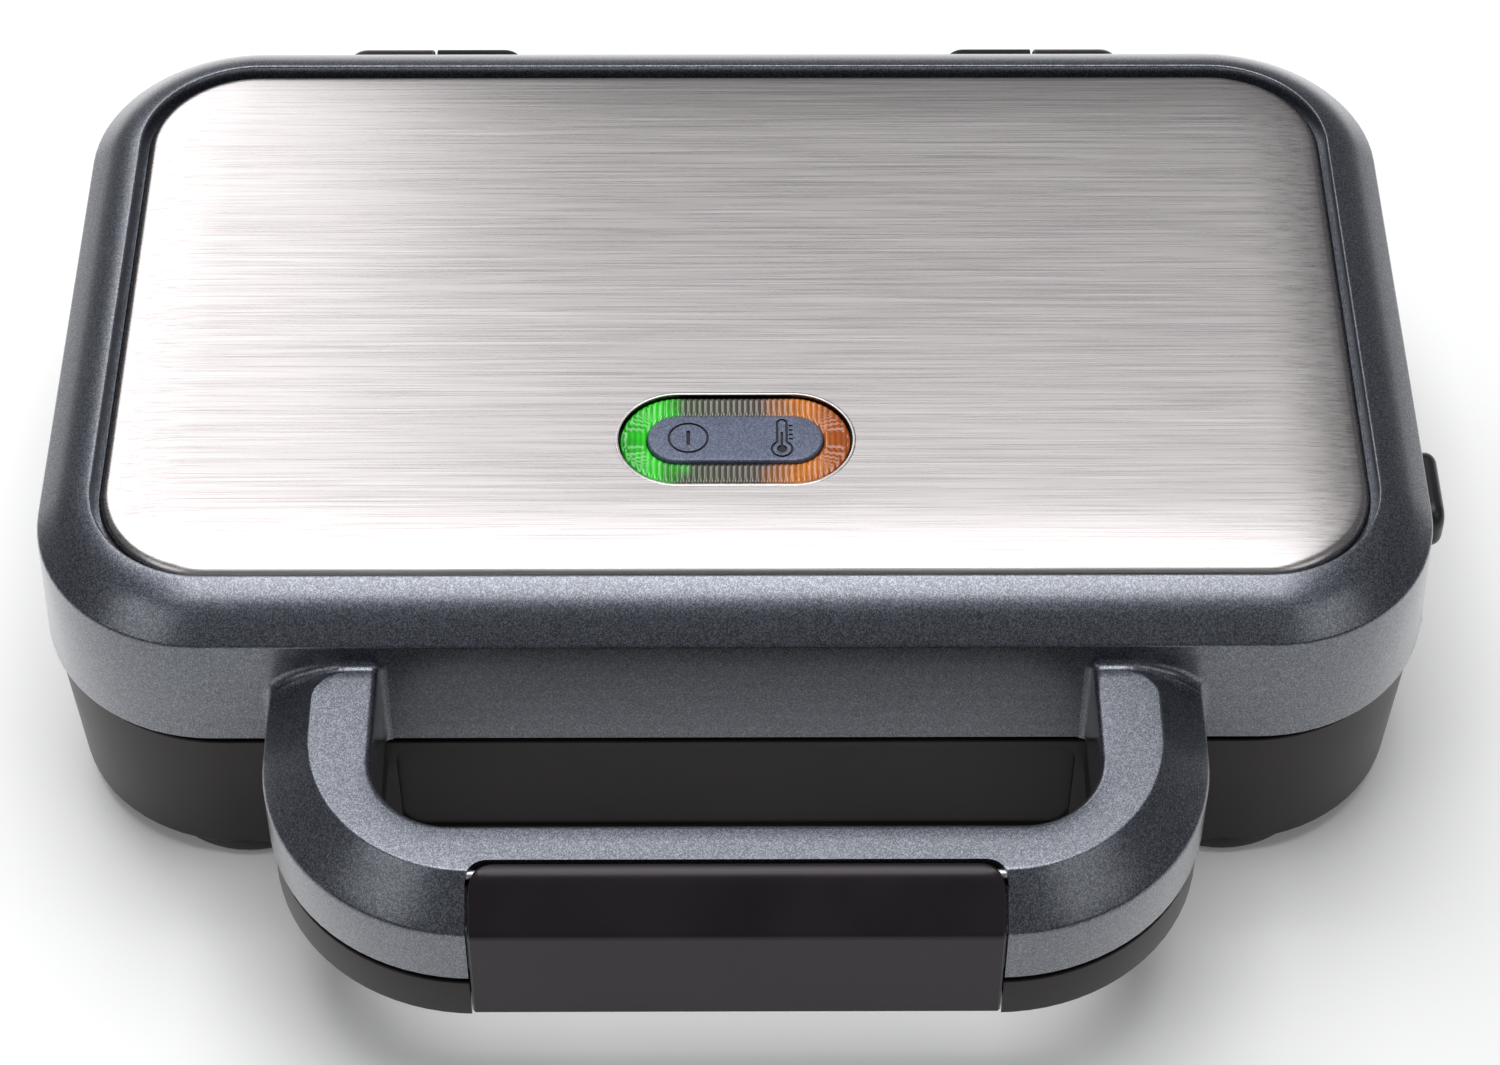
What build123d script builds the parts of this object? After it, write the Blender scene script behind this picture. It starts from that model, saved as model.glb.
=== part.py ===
"""Deep-fill sandwich toaster for two slices, closed and standing on its feet.

The origin lies on the table under the middle of the toaster. +X is to the right,
+Y to the rear (the hinges) and +Z is up. Millimetres throughout.
"""

import os
from math import atan2, degrees, hypot, sqrt

from build123d import *

# ----------------------------------------------------------------------------
# Driving dimensions
# ----------------------------------------------------------------------------

# Casing: the room between the cooking plates and the crease of the lid
CASING_SIDE_ROOM = 17.0
CASING_END_ROOM = 15.0
CASING_CENTRE_Y = 23.75
CREASE_RADIUS = 35.0
WALL = 2.6

# Heights, from the table up
FOOT_HEIGHT = 4.5
BASE_HEIGHT = 36.4
PARTING_GAP = 1.9
LID_WALL_HEIGHT = 27.2
CROWN_HEIGHT = 8.0

# Lid casing
RIM_FLARE = 1.4
RIM_RADIUS = 37.0
CROWN_INSET = 9.0
CROWN_RADIUS = 18.0
DECK_DROP = 4.2
DECK_RISE = 3.0
DECK_THICKNESS = 2.5
TOP_PLATE_GAP = 1.25
CREASE_FILLET = 1.2

# Steel top plate
TOP_PLATE_SIDE_BORDER = 12.75
TOP_PLATE_END_BORDER = 13.5
TOP_PLATE_RADIUS = 22.8
TOP_PLATE_SHEET = 0.7
TOP_PLATE_EDGE = 3.2

# Indicator in the top plate
INDICATOR_WIDTH = 47.4
INDICATOR_HEIGHT = 24.3
INDICATOR_FROM_FRONT = 34.85
LENS_BAND = 5.5
LENS_GAP = 0.3
LENS_FLANGE = 1.2
LENS_FLANGE_HEIGHT = 1.0
LENS_DROP = 0.3
BADGE_RISE = 0.3
BADGE_GAP = 0.15
BADGE_DOME = 1.2
LAMP_RADIUS = 1.5
LAMP_HEIGHT = 3.4
LAMP_BOARD_LENGTH = 56.0
LAMP_BOARD_WIDTH = 20.0
LAMP_BOARD_THICKNESS = 1.2

# U handle
HANDLE_HALF_WIDTH = 92.0
HANDLE_GRIP_HALF_GAP = 70.0
HANDLE_REACH = 59.25
HANDLE_BAR = 20.3
HANDLE_OUTER_RADIUS = 42.0
HANDLE_INNER_RADIUS = 16.0
HANDLE_TOP_DROP = 5.0
HANDLE_BAND_DROP = 8.0
HANDLE_BAND_INSET = 9.5
LOWER_HANDLE_HEIGHT = 10.9
LOWER_HANDLE_INSET = 0.5
HANDLE_CREST_FILLET = 1.5
HANDLE_TOP_FILLET = 1.2
HANDLE_ROOT_FILLET = 1.5
LOWER_HANDLE_FILLET = 0.8

# Base casing
BASE_INSET = 1.2
BASE_RADIUS = 36.0
BASE_FLARE = 1.9
BASE_EDGE_FILLET = 1.0
FLOOR_THICKNESS = 2.6
PANEL_RECESS = 0.4
PANEL_MARGIN = 1.5
PANEL_HEIGHT = 29.0
PANEL_RADIUS = 5.0
VENT_LENGTH = 34.0
VENT_WIDTH = 3.0
VENT_PITCH = 9.0
VENT_COUNT = 6

# Feet
FOOT_RADIUS = 20.4
FOOT_SIDE_INSET = 38.5
FOOT_END_INSET = 21.5
FOOT_PAD_HEIGHT = 2.9
RUBBER_RADIUS = 14.0
RUBBER_SEAT = 1.0

# Hinges
HINGE_HEIGHT = 58.2
HINGE_SPACING = 135.6
KNUCKLE_RADIUS = 5.5
KNUCKLE_LENGTH = 19.9
KNUCKLE_SPLIT = 0.8
KNUCKLE_END = 4.6
KNUCKLE_CLEARANCE = 0.4
HINGE_PIN_RADIUS = 2.0
HINGE_PIN_PLAY = 0.05
HINGE_PIN_LENGTH = 28.0
TOWER_GAP = 0.85
TOWER_FOOT = 16.0
BRACKET_PLATE = 3.0
BRACKET_MARGIN = 4.0
BRACKET_CLEARANCE = 0.3

# Latch
LATCH_HALF_WIDTH = 50.5
LATCH_WALL = 2.6
LATCH_BARREL_RADIUS = 1.8
LATCH_PIVOT_BACK = 9.7
LATCH_PROUD = 0.45
LATCH_HOOK_REACH = 3.0
LATCH_HOOK_HEIGHT = 2.2
LATCH_HOOK_CLEARANCE = 0.8
LATCH_FOOT_RISE = 2.0
LATCH_CORNER = 5.0
LATCH_RECESS_CORNER = 4.2
LATCH_CLEARANCE = 0.4
LATCH_PIN_RADIUS = 0.9
LATCH_PIN_PLAY = 0.05
LATCH_PIN_HOLD = 3.5

# Cooking plates: depths count from the middle of the parting gap
PLATE_FACE = 0.3
PLATE_SIDE_REST = 3.0
PLATE_END_REST = 6.5
PLATE_RADIUS = 18.0
PLATE_FLANGE = 3.0
PLATE_GAP = 0.6
WELL_WIDTH = 110.0
WELL_DEPTH = 122.0
WELL_BRIDGE = 13.0
WELL_RADIUS = 14.0
WELL_SINK = 14.0
WELL_WALL = 2.6
WELL_FLOOR = 3.0
WELL_DRAFT = 12.0
RIDGE_CREST = 1.0
RIDGE_TOP_WIDTH = 1.8
RIDGE_FOOT_WIDTH = 10.0

# Frames that carry the plates
LEDGE_CLEARANCE = 0.9
LEDGE_THICKNESS = 2.2
FRAME_CLEARANCE = 0.15

# Plate catch
TAB_FACE = 2.3
TAB_THICKNESS = 2.0
TAB_REACH = 8.2
TAB_WIDTH = 16.0
TAB_WINDOW_START = 1.4
TAB_BAR = 2.0
TAB_WINDOW_WIDTH = 9.0
TAB_CLEARANCE = 0.5
HOOK_TAB_REACH = 4.0
HOOK_TAB_WIDTH = 14.0
HOOK_TAB_SPACING = 70.0

# Release buttons
BUTTON_FROM_FRONT = 45.3
BUTTON_LENGTH = 20.0
BUTTON_HEIGHT = 11.0
BUTTON_CORNER = 4.0
BUTTON_EDGE = 2.4
BUTTON_GAP = 0.35
BUTTON_TRAVEL = 2.5
UPPER_BUTTON_PROUD = 3.65
UPPER_BUTTON_Z = 62.0
LOWER_BUTTON_PROUD = 3.35
LOWER_BUTTON_Z = 31.0
BUTTON_FLANGE_RIM = 1.5
BUTTON_FLANGE_THICKNESS = 1.2
BUTTON_FLANGE_GAP = 0.9
CATCH_WEB = 2.4
CATCH_WIDTH = 7.0
CATCH_STEM = 1.5
CATCH_NOSE = 1.7
CATCH_NOSE_HEIGHT = 1.2
CATCH_CLEARANCE = 0.3

# Bow springs behind the buttons, and their seats on the frames
SPRING_SHEET = 0.4
SPRING_WIDTH = 4.0
SPRING_CHORD = 15.0
SPRING_SEAT_LENGTH = 19.0
SPRING_SEAT_SHEET = 1.5
SPRING_SEAT_LEG = 4.0
SPRING_SEAT_START = 2.6
SPRING_SEAT_RIM = 1.5
SPRING_GAP = 0.1
LOWER_SPRING_DROP = 3.6

# Reflectors
REFLECTOR_SHEET = 0.8
REFLECTOR_CLEARANCE = 0.7
REFLECTOR_DEPTH = 25.0
REFLECTOR_FLANGE = 3.6

# Heating elements
ELEMENT_RADIUS = 3.25
ELEMENT_GAP = 0.3
ELEMENT_BEND = 14.0
ELEMENT_SIDE_INSET = 21.5
ELEMENT_END_INSET = 23.0
ELEMENT_TAIL_X = 15.0
ELEMENT_TAIL_REACH = 6.9
ELEMENT_HOLE_PLAY = 0.5
SUPPORT_WIDTH = 8.0
SUPPORT_SHEET = 0.8
SUPPORT_PLAY = 0.05

# Screws between frames and casings
POST_RADIUS = 4.0
POST_SIDE_INSET = 45.0
POST_END_GAP = 5.0
SCREW_RADIUS = 1.7
SCREW_PLAY = 0.15
SCREW_HEAD_RADIUS = 3.2
SCREW_HEAD_HEIGHT = 2.2
SCREW_LENGTH = 14.0
SCREW_PILOT_PLAY = 0.05

# Electrical parts in the base
THERMOSTAT_RADIUS = 8.0
THERMOSTAT_CAP = 6.5
THERMOSTAT_CAP_HEIGHT = 2.0
TERMINAL_LENGTH = 30.0
TERMINAL_GAP = 1.0
TERMINAL_WIDTH = 14.0
TERMINAL_HEIGHT = 12.0
TERMINAL_X = -48.0
TERMINAL_POLES = 3
FUSE_RADIUS = 2.0
FUSE_LENGTH = 11.0
FUSE_X = -40.0
GLAND_HOLE_RADIUS = 3.6
GLAND_RADIUS = 6.0
GLAND_FLANGE_RADIUS = 8.0
GLAND_FLANGE = 1.6
GLAND_GROOVE_PLAY = 0.1
GLAND_Z = 20.0
GLAND_SEAT_PLAY = 0.3

# ----------------------------------------------------------------------------
# Sizes that follow from them
# ----------------------------------------------------------------------------

# Plan sizes grow outwards from the wells: well, ledge, plate, casing
WELL_SPACING = WELL_WIDTH + WELL_BRIDGE
WELL_OUTER_WIDTH = WELL_SPACING + WELL_WIDTH + 2 * WELL_WALL
WELL_OUTER_DEPTH = WELL_DEPTH + 2 * WELL_WALL
LEDGE_WIDTH = WELL_OUTER_WIDTH + 2 * LEDGE_CLEARANCE
LEDGE_DEPTH = WELL_OUTER_DEPTH + 2 * LEDGE_CLEARANCE
LEDGE_RADIUS = WELL_RADIUS + WELL_WALL + LEDGE_CLEARANCE
PLATE_WIDTH = LEDGE_WIDTH + 2 * PLATE_SIDE_REST
PLATE_DEPTH = LEDGE_DEPTH + 2 * PLATE_END_REST
CASING_WIDTH = PLATE_WIDTH + 2 * CASING_SIDE_ROOM
CASING_DEPTH = PLATE_DEPTH + 2 * CASING_END_ROOM
TOP_PLATE_WIDTH = CASING_WIDTH - 2 * TOP_PLATE_SIDE_BORDER
TOP_PLATE_DEPTH = CASING_DEPTH - 2 * TOP_PLATE_END_BORDER
REFLECTOR_WIDTH = WELL_OUTER_WIDTH + 2 * REFLECTOR_CLEARANCE + 2 * REFLECTOR_SHEET
REFLECTOR_DEPTH_Y = WELL_OUTER_DEPTH + 2 * REFLECTOR_CLEARANCE + 2 * REFLECTOR_SHEET
REFLECTOR_RADIUS = WELL_RADIUS + WELL_WALL + REFLECTOR_CLEARANCE + REFLECTOR_SHEET
ELEMENT_RUN_X = (WELL_SPACING + WELL_WIDTH) / 2 - ELEMENT_SIDE_INSET
ELEMENT_RUN_Y = WELL_DEPTH / 2 - ELEMENT_END_INSET
ELEMENT_TAIL_Y = REFLECTOR_DEPTH_Y / 2 + ELEMENT_TAIL_REACH
POST_X = CASING_WIDTH / 2 - POST_SIDE_INSET
POST_Y = PLATE_DEPTH / 2 + POST_END_GAP
FOOT_SPAN_X = CASING_WIDTH - 2 * FOOT_SIDE_INSET
FOOT_SPAN_Y = CASING_DEPTH - 2 * FOOT_END_INSET

# How near to a height an edge has to lie to count as being at it
EDGE_MATCH = 0.01

BASE_RIM_Z = FOOT_HEIGHT + BASE_HEIGHT
LID_RIM_Z = BASE_RIM_Z + PARTING_GAP
MID_Z = (BASE_RIM_Z + LID_RIM_Z) / 2
CREASE_Z = LID_RIM_Z + LID_WALL_HEIGHT
DECK_Z = CREASE_Z + DECK_RISE
FLOOR_Z = FOOT_HEIGHT + FLOOR_THICKNESS

FRONT_Y = CASING_CENTRE_Y - CASING_DEPTH / 2
HANDLE_FRONT_Y = FRONT_Y - HANDLE_REACH
INDICATOR_Y = CASING_CENTRE_Y - TOP_PLATE_DEPTH / 2 + INDICATOR_FROM_FRONT
BUTTON_Y = FRONT_Y + BUTTON_FROM_FRONT
HANDLE_TOP_Z = CREASE_Z - HANDLE_TOP_DROP
HANDLE_CREST_Z = HANDLE_TOP_Z - HANDLE_BAND_DROP
HANDLE_ROOT_Y = FRONT_Y + CREASE_RADIUS
LOWER_HANDLE_Z = BASE_RIM_Z - LOWER_HANDLE_HEIGHT
LATCH_FOOT_Z = LOWER_HANDLE_Z + LATCH_FOOT_RISE

BASE_WIDTH = CASING_WIDTH - 2 * BASE_INSET
BASE_DEPTH = CASING_DEPTH - 2 * BASE_INSET
REAR_Y = CASING_CENTRE_Y + CASING_DEPTH / 2 + RIM_FLARE
BASE_FRONT_Y = CASING_CENTRE_Y - BASE_DEPTH / 2
BASE_REAR_Y = CASING_CENTRE_Y + BASE_DEPTH / 2
GLAND_SEAT_Y = BASE_REAR_Y + BASE_FLARE * (GLAND_Z - GLAND_FLANGE_RADIUS - FOOT_HEIGHT) / BASE_HEIGHT
TERMINAL_Y = BASE_REAR_Y - WALL - TERMINAL_GAP - TERMINAL_WIDTH / 2

# The wall stands at the flare's full width at the rim and at none at the crease
HINGE_WALL_Y = CASING_CENTRE_Y + CASING_DEPTH / 2 + RIM_FLARE * (CREASE_Z - HINGE_HEIGHT) / LID_WALL_HEIGHT
HINGE_Y = HINGE_WALL_Y + KNUCKLE_CLEARANCE + KNUCKLE_RADIUS

KNUCKLE_STRAIGHT = KNUCKLE_LENGTH - KNUCKLE_END

LATCH_PIVOT_Y = HANDLE_FRONT_Y + LATCH_PIVOT_BACK
LATCH_PIVOT_Z = HANDLE_TOP_Z - LATCH_BARREL_RADIUS

PLATE_BACK = PLATE_FACE + PLATE_FLANGE
FRAME_FACE = PARTING_GAP / 2
FRAME_BACK = PLATE_BACK + LEDGE_THICKNESS
WELL_BACK = PLATE_FACE + WELL_SINK + WELL_FLOOR
ELEMENT_DEPTH = WELL_BACK + ELEMENT_GAP + ELEMENT_RADIUS
LID_CAVITY_WIDTH = CASING_WIDTH - 2 * WALL
LID_CAVITY_DEPTH = CASING_DEPTH - 2 * WALL
LID_CAVITY_RADIUS = CREASE_RADIUS - WALL
LID_CAVITY_REAR_Y = CASING_CENTRE_Y + LID_CAVITY_DEPTH / 2
BASE_CAVITY_WIDTH = BASE_WIDTH - 2 * WALL
BASE_CAVITY_DEPTH = BASE_DEPTH - 2 * WALL
BASE_CAVITY_RADIUS = BASE_RADIUS - WALL
DECK_UNDER_Z = DECK_Z - DECK_THICKNESS
WALL_CUT = 3 * WALL
BUTTON_LOCAL_Y = BUTTON_Y - CASING_CENTRE_Y

# The seat stands just clear of the reflector's flange
REFLECTOR_FLANGE_X = REFLECTOR_WIDTH / 2 + REFLECTOR_FLANGE
SPRING_SEAT_X = REFLECTOR_FLANGE_X + CATCH_CLEARANCE + SPRING_SEAT_SHEET / 2
UPPER_BUTTON_FACE_X = CASING_WIDTH / 2 + UPPER_BUTTON_PROUD
LOWER_BUTTON_FACE_X = CASING_WIDTH / 2 + LOWER_BUTTON_PROUD
UPPER_BUTTON_DEPTH = UPPER_BUTTON_Z - MID_Z
LOWER_BUTTON_DEPTH = MID_Z - LOWER_BUTTON_Z
UPPER_SPRING_DEPTH = UPPER_BUTTON_DEPTH
LOWER_SPRING_DEPTH = LOWER_BUTTON_DEPTH + LOWER_SPRING_DROP

# The two halves mirror each other about the parting gap. Each plane's normal
# points away from the gap, into the half that it serves, and its Y stays +Y.
MIDDLE = (0, CASING_CENTRE_Y, MID_Z)
UPPER = Plane(origin=MIDDLE, x_dir=(1, 0, 0), z_dir=(0, 0, 1))
LOWER = Plane(origin=MIDDLE, x_dir=(-1, 0, 0), z_dir=(0, 0, -1))


def level(z: float) -> Plane:
    """The horizontal plane at height z, centred on the casing."""
    return Plane((0, CASING_CENTRE_Y, z))


def across(x: float) -> Plane:
    """The upright plane at x whose local X runs to the rear and local Y up."""
    return Plane(origin=(x, 0, 0), x_dir=(0, 1, 0), z_dir=(1, 0, 0))


def facing_right(x: float, y: float, z: float) -> Plane:
    """The upright plane through a point, its normal +X and its local X to the rear."""
    return Plane(origin=(x, y, z), x_dir=(0, 1, 0), z_dir=(1, 0, 0))


def facing_rear(x: float, y: float, z: float) -> Plane:
    """The upright plane through a point, its normal +Y and its local X to the right."""
    return Plane(origin=(x, y, z), x_dir=(1, 0, 0), z_dir=(0, 1, 0))


def facing_front(x: float, y: float, z: float) -> Plane:
    """The upright plane through a point, its normal -Y and its local X to the right."""
    return Plane(origin=(x, y, z), x_dir=(1, 0, 0), z_dir=(0, -1, 0))


def right_of(half: Plane) -> float:
    """+1 or -1: which way the half's local X points to reach the toaster's right."""
    return half.x_dir.X


# ----------------------------------------------------------------------------
# Cooking plates, frames, reflectors and elements: one function for both halves
# ----------------------------------------------------------------------------


def cooking_plate(half: Plane) -> BuildPart:
    """Cast plate: a flange, two deep wells with sealing ridges, and its tabs."""
    right = right_of(half)
    centres = [(-WELL_SPACING / 2, 0), (WELL_SPACING / 2, 0)]
    window_length = TAB_REACH - TAB_BAR - TAB_WINDOW_START
    window_x = PLATE_WIDTH / 2 + TAB_WINDOW_START + window_length / 2
    ridges = [sealing_ridge(half, side) for side in (-1, 1)]
    with BuildPart() as plate:
        with BuildSketch(half.offset(PLATE_FACE)):
            RectangleRounded(PLATE_WIDTH, PLATE_DEPTH, PLATE_RADIUS)
        extrude(amount=PLATE_FLANGE)
        with BuildSketch(half.offset(TAB_FACE)):
            # Catch tab at the right, two hook tabs at the left
            with Locations((right * PLATE_WIDTH / 2, BUTTON_LOCAL_Y)):
                Rectangle(2 * TAB_REACH, TAB_WIDTH)
            for y in (-HOOK_TAB_SPACING / 2, HOOK_TAB_SPACING / 2):
                with Locations((-right * PLATE_WIDTH / 2, y)):
                    Rectangle(2 * HOOK_TAB_REACH, HOOK_TAB_WIDTH)
        extrude(amount=PLATE_BACK - TAB_FACE)
        with BuildSketch(half.offset(TAB_FACE)):
            with Locations((right * window_x, BUTTON_LOCAL_Y)):
                Rectangle(window_length, TAB_WINDOW_WIDTH)
        extrude(amount=TAB_THICKNESS, mode=Mode.SUBTRACT)
        with BuildSketch(half.offset(PLATE_FACE)):
            with Locations(*centres):
                RectangleRounded(
                    WELL_WIDTH + 2 * WELL_WALL,
                    WELL_DEPTH + 2 * WELL_WALL,
                    WELL_RADIUS + WELL_WALL,
                )
        extrude(amount=WELL_SINK + WELL_FLOOR, taper=WELL_DRAFT)
        with BuildSketch(half.offset(PLATE_FACE)):
            with Locations(*centres):
                RectangleRounded(WELL_WIDTH, WELL_DEPTH, WELL_RADIUS)
        extrude(amount=WELL_SINK, taper=WELL_DRAFT, mode=Mode.SUBTRACT)
        for ridge in ridges:
            add(ridge.part)
    return plate


def sealing_ridge(half: Plane, side: int) -> BuildPart:
    """Ridge across one well, from corner to corner, that cuts and seals the bread."""
    run = half.x_dir * (-side * WELL_WIDTH) + half.y_dir * -WELL_DEPTH
    corner_cut = 2 * WELL_RADIUS * (sqrt(2) - 1)
    length = hypot(WELL_WIDTH, WELL_DEPTH) - corner_cut - WELL_WALL
    centre = half.from_local_coords((side * WELL_SPACING / 2, 0, PLATE_FACE + WELL_SINK))
    # Local X of the section runs across the ridge, local Y towards its crest
    section = Plane(origin=centre, x_dir=run.cross(half.z_dir), z_dir=run)
    height = WELL_SINK - RIDGE_CREST
    with BuildPart() as ridge:
        with BuildSketch(section):
            with BuildLine():
                Polyline(
                    (-RIDGE_FOOT_WIDTH / 2, -WELL_FLOOR / 2),
                    (-RIDGE_FOOT_WIDTH / 2, 0),
                    (-RIDGE_TOP_WIDTH / 2, height),
                    (RIDGE_TOP_WIDTH / 2, height),
                    (RIDGE_FOOT_WIDTH / 2, 0),
                    (RIDGE_FOOT_WIDTH / 2, -WELL_FLOOR / 2),
                    close=True,
                )
            make_face()
        extrude(amount=length / 2, both=True)
    return ridge


def plate_frame(
    half: Plane, width: float, depth: float, radius: float, button_depth: float, spring_depth: float
) -> BuildPart:
    """Ring that closes the casing's mouth and carries the plate on its ledge.

    The ring is relieved where the button's cap passes behind it, and a seat for
    the button's spring stands on its back.
    """
    right = right_of(half)
    relief_start = min(button_depth - BUTTON_HEIGHT / 2 - CATCH_CLEARANCE, FRAME_BACK)
    relief_x = width / 2 - BUTTON_FLANGE_GAP - BUTTON_FLANGE_THICKNESS - BUTTON_TRAVEL - CATCH_CLEARANCE
    relief_length = BUTTON_LENGTH + 2 * BUTTON_FLANGE_RIM + 2 * BUTTON_GAP
    seat_end = spring_depth + SPRING_WIDTH / 2 + SPRING_SEAT_RIM
    notch_start = LEDGE_WIDTH / 2 - TAB_CLEARANCE
    notch_end = PLATE_WIDTH / 2 + TAB_REACH + TAB_CLEARANCE
    hook_end = PLATE_WIDTH / 2 + HOOK_TAB_REACH + TAB_CLEARANCE
    with BuildPart() as frame:
        with BuildSketch(half.offset(FRAME_FACE)):
            RectangleRounded(
                width - 2 * FRAME_CLEARANCE,
                depth - 2 * FRAME_CLEARANCE,
                radius - FRAME_CLEARANCE,
            )
        extrude(amount=FRAME_BACK - FRAME_FACE)
        with BuildSketch(half.offset(FRAME_FACE)):
            RectangleRounded(
                PLATE_WIDTH + 2 * PLATE_GAP,
                PLATE_DEPTH + 2 * PLATE_GAP,
                PLATE_RADIUS + PLATE_GAP,
            )
        extrude(amount=PLATE_BACK - FRAME_FACE, mode=Mode.SUBTRACT)
        with BuildSketch(half.offset(FRAME_FACE)):
            RectangleRounded(LEDGE_WIDTH, LEDGE_DEPTH, LEDGE_RADIUS)
        extrude(amount=FRAME_BACK, mode=Mode.SUBTRACT)
        # Notch for the catch and its tab, through the ring
        with BuildSketch(half.offset(FRAME_FACE)):
            with Locations((right * (notch_start + notch_end) / 2, BUTTON_LOCAL_Y)):
                Rectangle(notch_end - notch_start, TAB_WIDTH + 2 * TAB_CLEARANCE)
        extrude(amount=FRAME_BACK, mode=Mode.SUBTRACT)
        # Pockets for the two hook tabs, open to the plate's recess
        with BuildSketch(half.offset(TAB_FACE - TAB_CLEARANCE / 2)):
            for y in (-HOOK_TAB_SPACING / 2, HOOK_TAB_SPACING / 2):
                with Locations((-right * (LEDGE_WIDTH / 2 + hook_end) / 2, y)):
                    Rectangle(hook_end - LEDGE_WIDTH / 2, HOOK_TAB_WIDTH + 2 * TAB_CLEARANCE)
        extrude(amount=PLATE_BACK - TAB_FACE + TAB_CLEARANCE / 2, mode=Mode.SUBTRACT)
        # Relief behind the ring's face for the button's cap, if it reaches so high
        if relief_start < FRAME_BACK:
            with BuildSketch(half.offset(relief_start)):
                with Locations((right * (relief_x + width / 2) / 2, BUTTON_LOCAL_Y)):
                    Rectangle(width / 2 - relief_x, relief_length)
            extrude(amount=FRAME_BACK - relief_start, mode=Mode.SUBTRACT)
        # Spring seat: a plate on two legs that straddle the catch's foot
        with BuildSketch(half.offset(FRAME_BACK)):
            for y in (-1, 1):
                leg_middle = y * (SPRING_SEAT_LENGTH - SPRING_SEAT_LEG) / 2
                with Locations((right * SPRING_SEAT_X, BUTTON_LOCAL_Y + leg_middle)):
                    Rectangle(SPRING_SEAT_SHEET, SPRING_SEAT_LEG)
        extrude(amount=seat_end - FRAME_BACK)
        with BuildSketch(half.offset(FRAME_BACK + SPRING_SEAT_START)):
            with Locations((right * SPRING_SEAT_X, BUTTON_LOCAL_Y)):
                Rectangle(SPRING_SEAT_SHEET, SPRING_SEAT_LENGTH)
        extrude(amount=seat_end - FRAME_BACK - SPRING_SEAT_START)
        # Screw holes with counterbores, sunk from the side that faces the plate
        with BuildSketch(half.offset(FRAME_FACE)):
            with GridLocations(2 * POST_X, 2 * POST_Y, 2, 2):
                Circle(SCREW_HEAD_RADIUS + SCREW_PLAY)
        extrude(amount=SCREW_HEAD_HEIGHT + SCREW_PLAY, mode=Mode.SUBTRACT)
        with BuildSketch(half.offset(FRAME_FACE)):
            with GridLocations(2 * POST_X, 2 * POST_Y, 2, 2):
                Circle(SCREW_RADIUS + SCREW_PLAY)
        extrude(amount=FRAME_BACK, mode=Mode.SUBTRACT)
    return frame


def frame_screws(half: Plane) -> BuildPart:
    """Four pan-head screws that hold a frame to its casing's posts."""
    seat = FRAME_FACE + SCREW_PLAY
    with BuildPart() as screws:
        with BuildSketch(half.offset(seat)):
            with GridLocations(2 * POST_X, 2 * POST_Y, 2, 2):
                Circle(SCREW_HEAD_RADIUS)
        extrude(amount=SCREW_HEAD_HEIGHT)
        with BuildSketch(half.offset(seat)):
            with GridLocations(2 * POST_X, 2 * POST_Y, 2, 2):
                Circle(SCREW_RADIUS)
        extrude(amount=SCREW_LENGTH)
    return screws


def screw_posts(half: Plane, end: float) -> BuildPart:
    """Posts from a frame's back to the casing's inside, with blind pilot holes."""
    with BuildPart() as posts:
        with BuildSketch(half.offset(FRAME_BACK)):
            with GridLocations(2 * POST_X, 2 * POST_Y, 2, 2):
                Circle(POST_RADIUS)
        extrude(amount=end - FRAME_BACK)
        with BuildSketch(half.offset(FRAME_BACK)):
            with GridLocations(2 * POST_X, 2 * POST_Y, 2, 2):
                Circle(SCREW_RADIUS + SCREW_PILOT_PLAY)
        extrude(amount=SCREW_LENGTH, mode=Mode.SUBTRACT)
    return posts


def reflector(half: Plane) -> BuildPart:
    """Sheet-metal tray behind a plate, hung from the frame by its flange."""
    inner_width = REFLECTOR_WIDTH - 2 * REFLECTOR_SHEET
    inner_depth = REFLECTOR_DEPTH_Y - 2 * REFLECTOR_SHEET
    inner_radius = REFLECTOR_RADIUS - REFLECTOR_SHEET
    with BuildPart() as tray:
        with BuildSketch(half.offset(FRAME_BACK)):
            RectangleRounded(
                REFLECTOR_WIDTH + 2 * REFLECTOR_FLANGE,
                REFLECTOR_DEPTH_Y + 2 * REFLECTOR_FLANGE,
                REFLECTOR_RADIUS + REFLECTOR_FLANGE,
            )
        extrude(amount=REFLECTOR_SHEET)
        with BuildSketch(half.offset(FRAME_BACK)):
            RectangleRounded(REFLECTOR_WIDTH, REFLECTOR_DEPTH_Y, REFLECTOR_RADIUS)
        extrude(amount=REFLECTOR_DEPTH - FRAME_BACK + REFLECTOR_SHEET)
        with BuildSketch(half.offset(FRAME_BACK)):
            RectangleRounded(inner_width, inner_depth, inner_radius)
        extrude(amount=REFLECTOR_DEPTH - FRAME_BACK, mode=Mode.SUBTRACT)
        # Holes in the rear wall where the element's tails leave
        with BuildSketch(facing_rear(*half.from_local_coords((0, 0, ELEMENT_DEPTH)))):
            with GridLocations(2 * ELEMENT_TAIL_X, 0, 2, 1):
                Circle(ELEMENT_RADIUS + ELEMENT_HOLE_PLAY)
        extrude(amount=REFLECTOR_DEPTH_Y, mode=Mode.SUBTRACT)
    return tray


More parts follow.
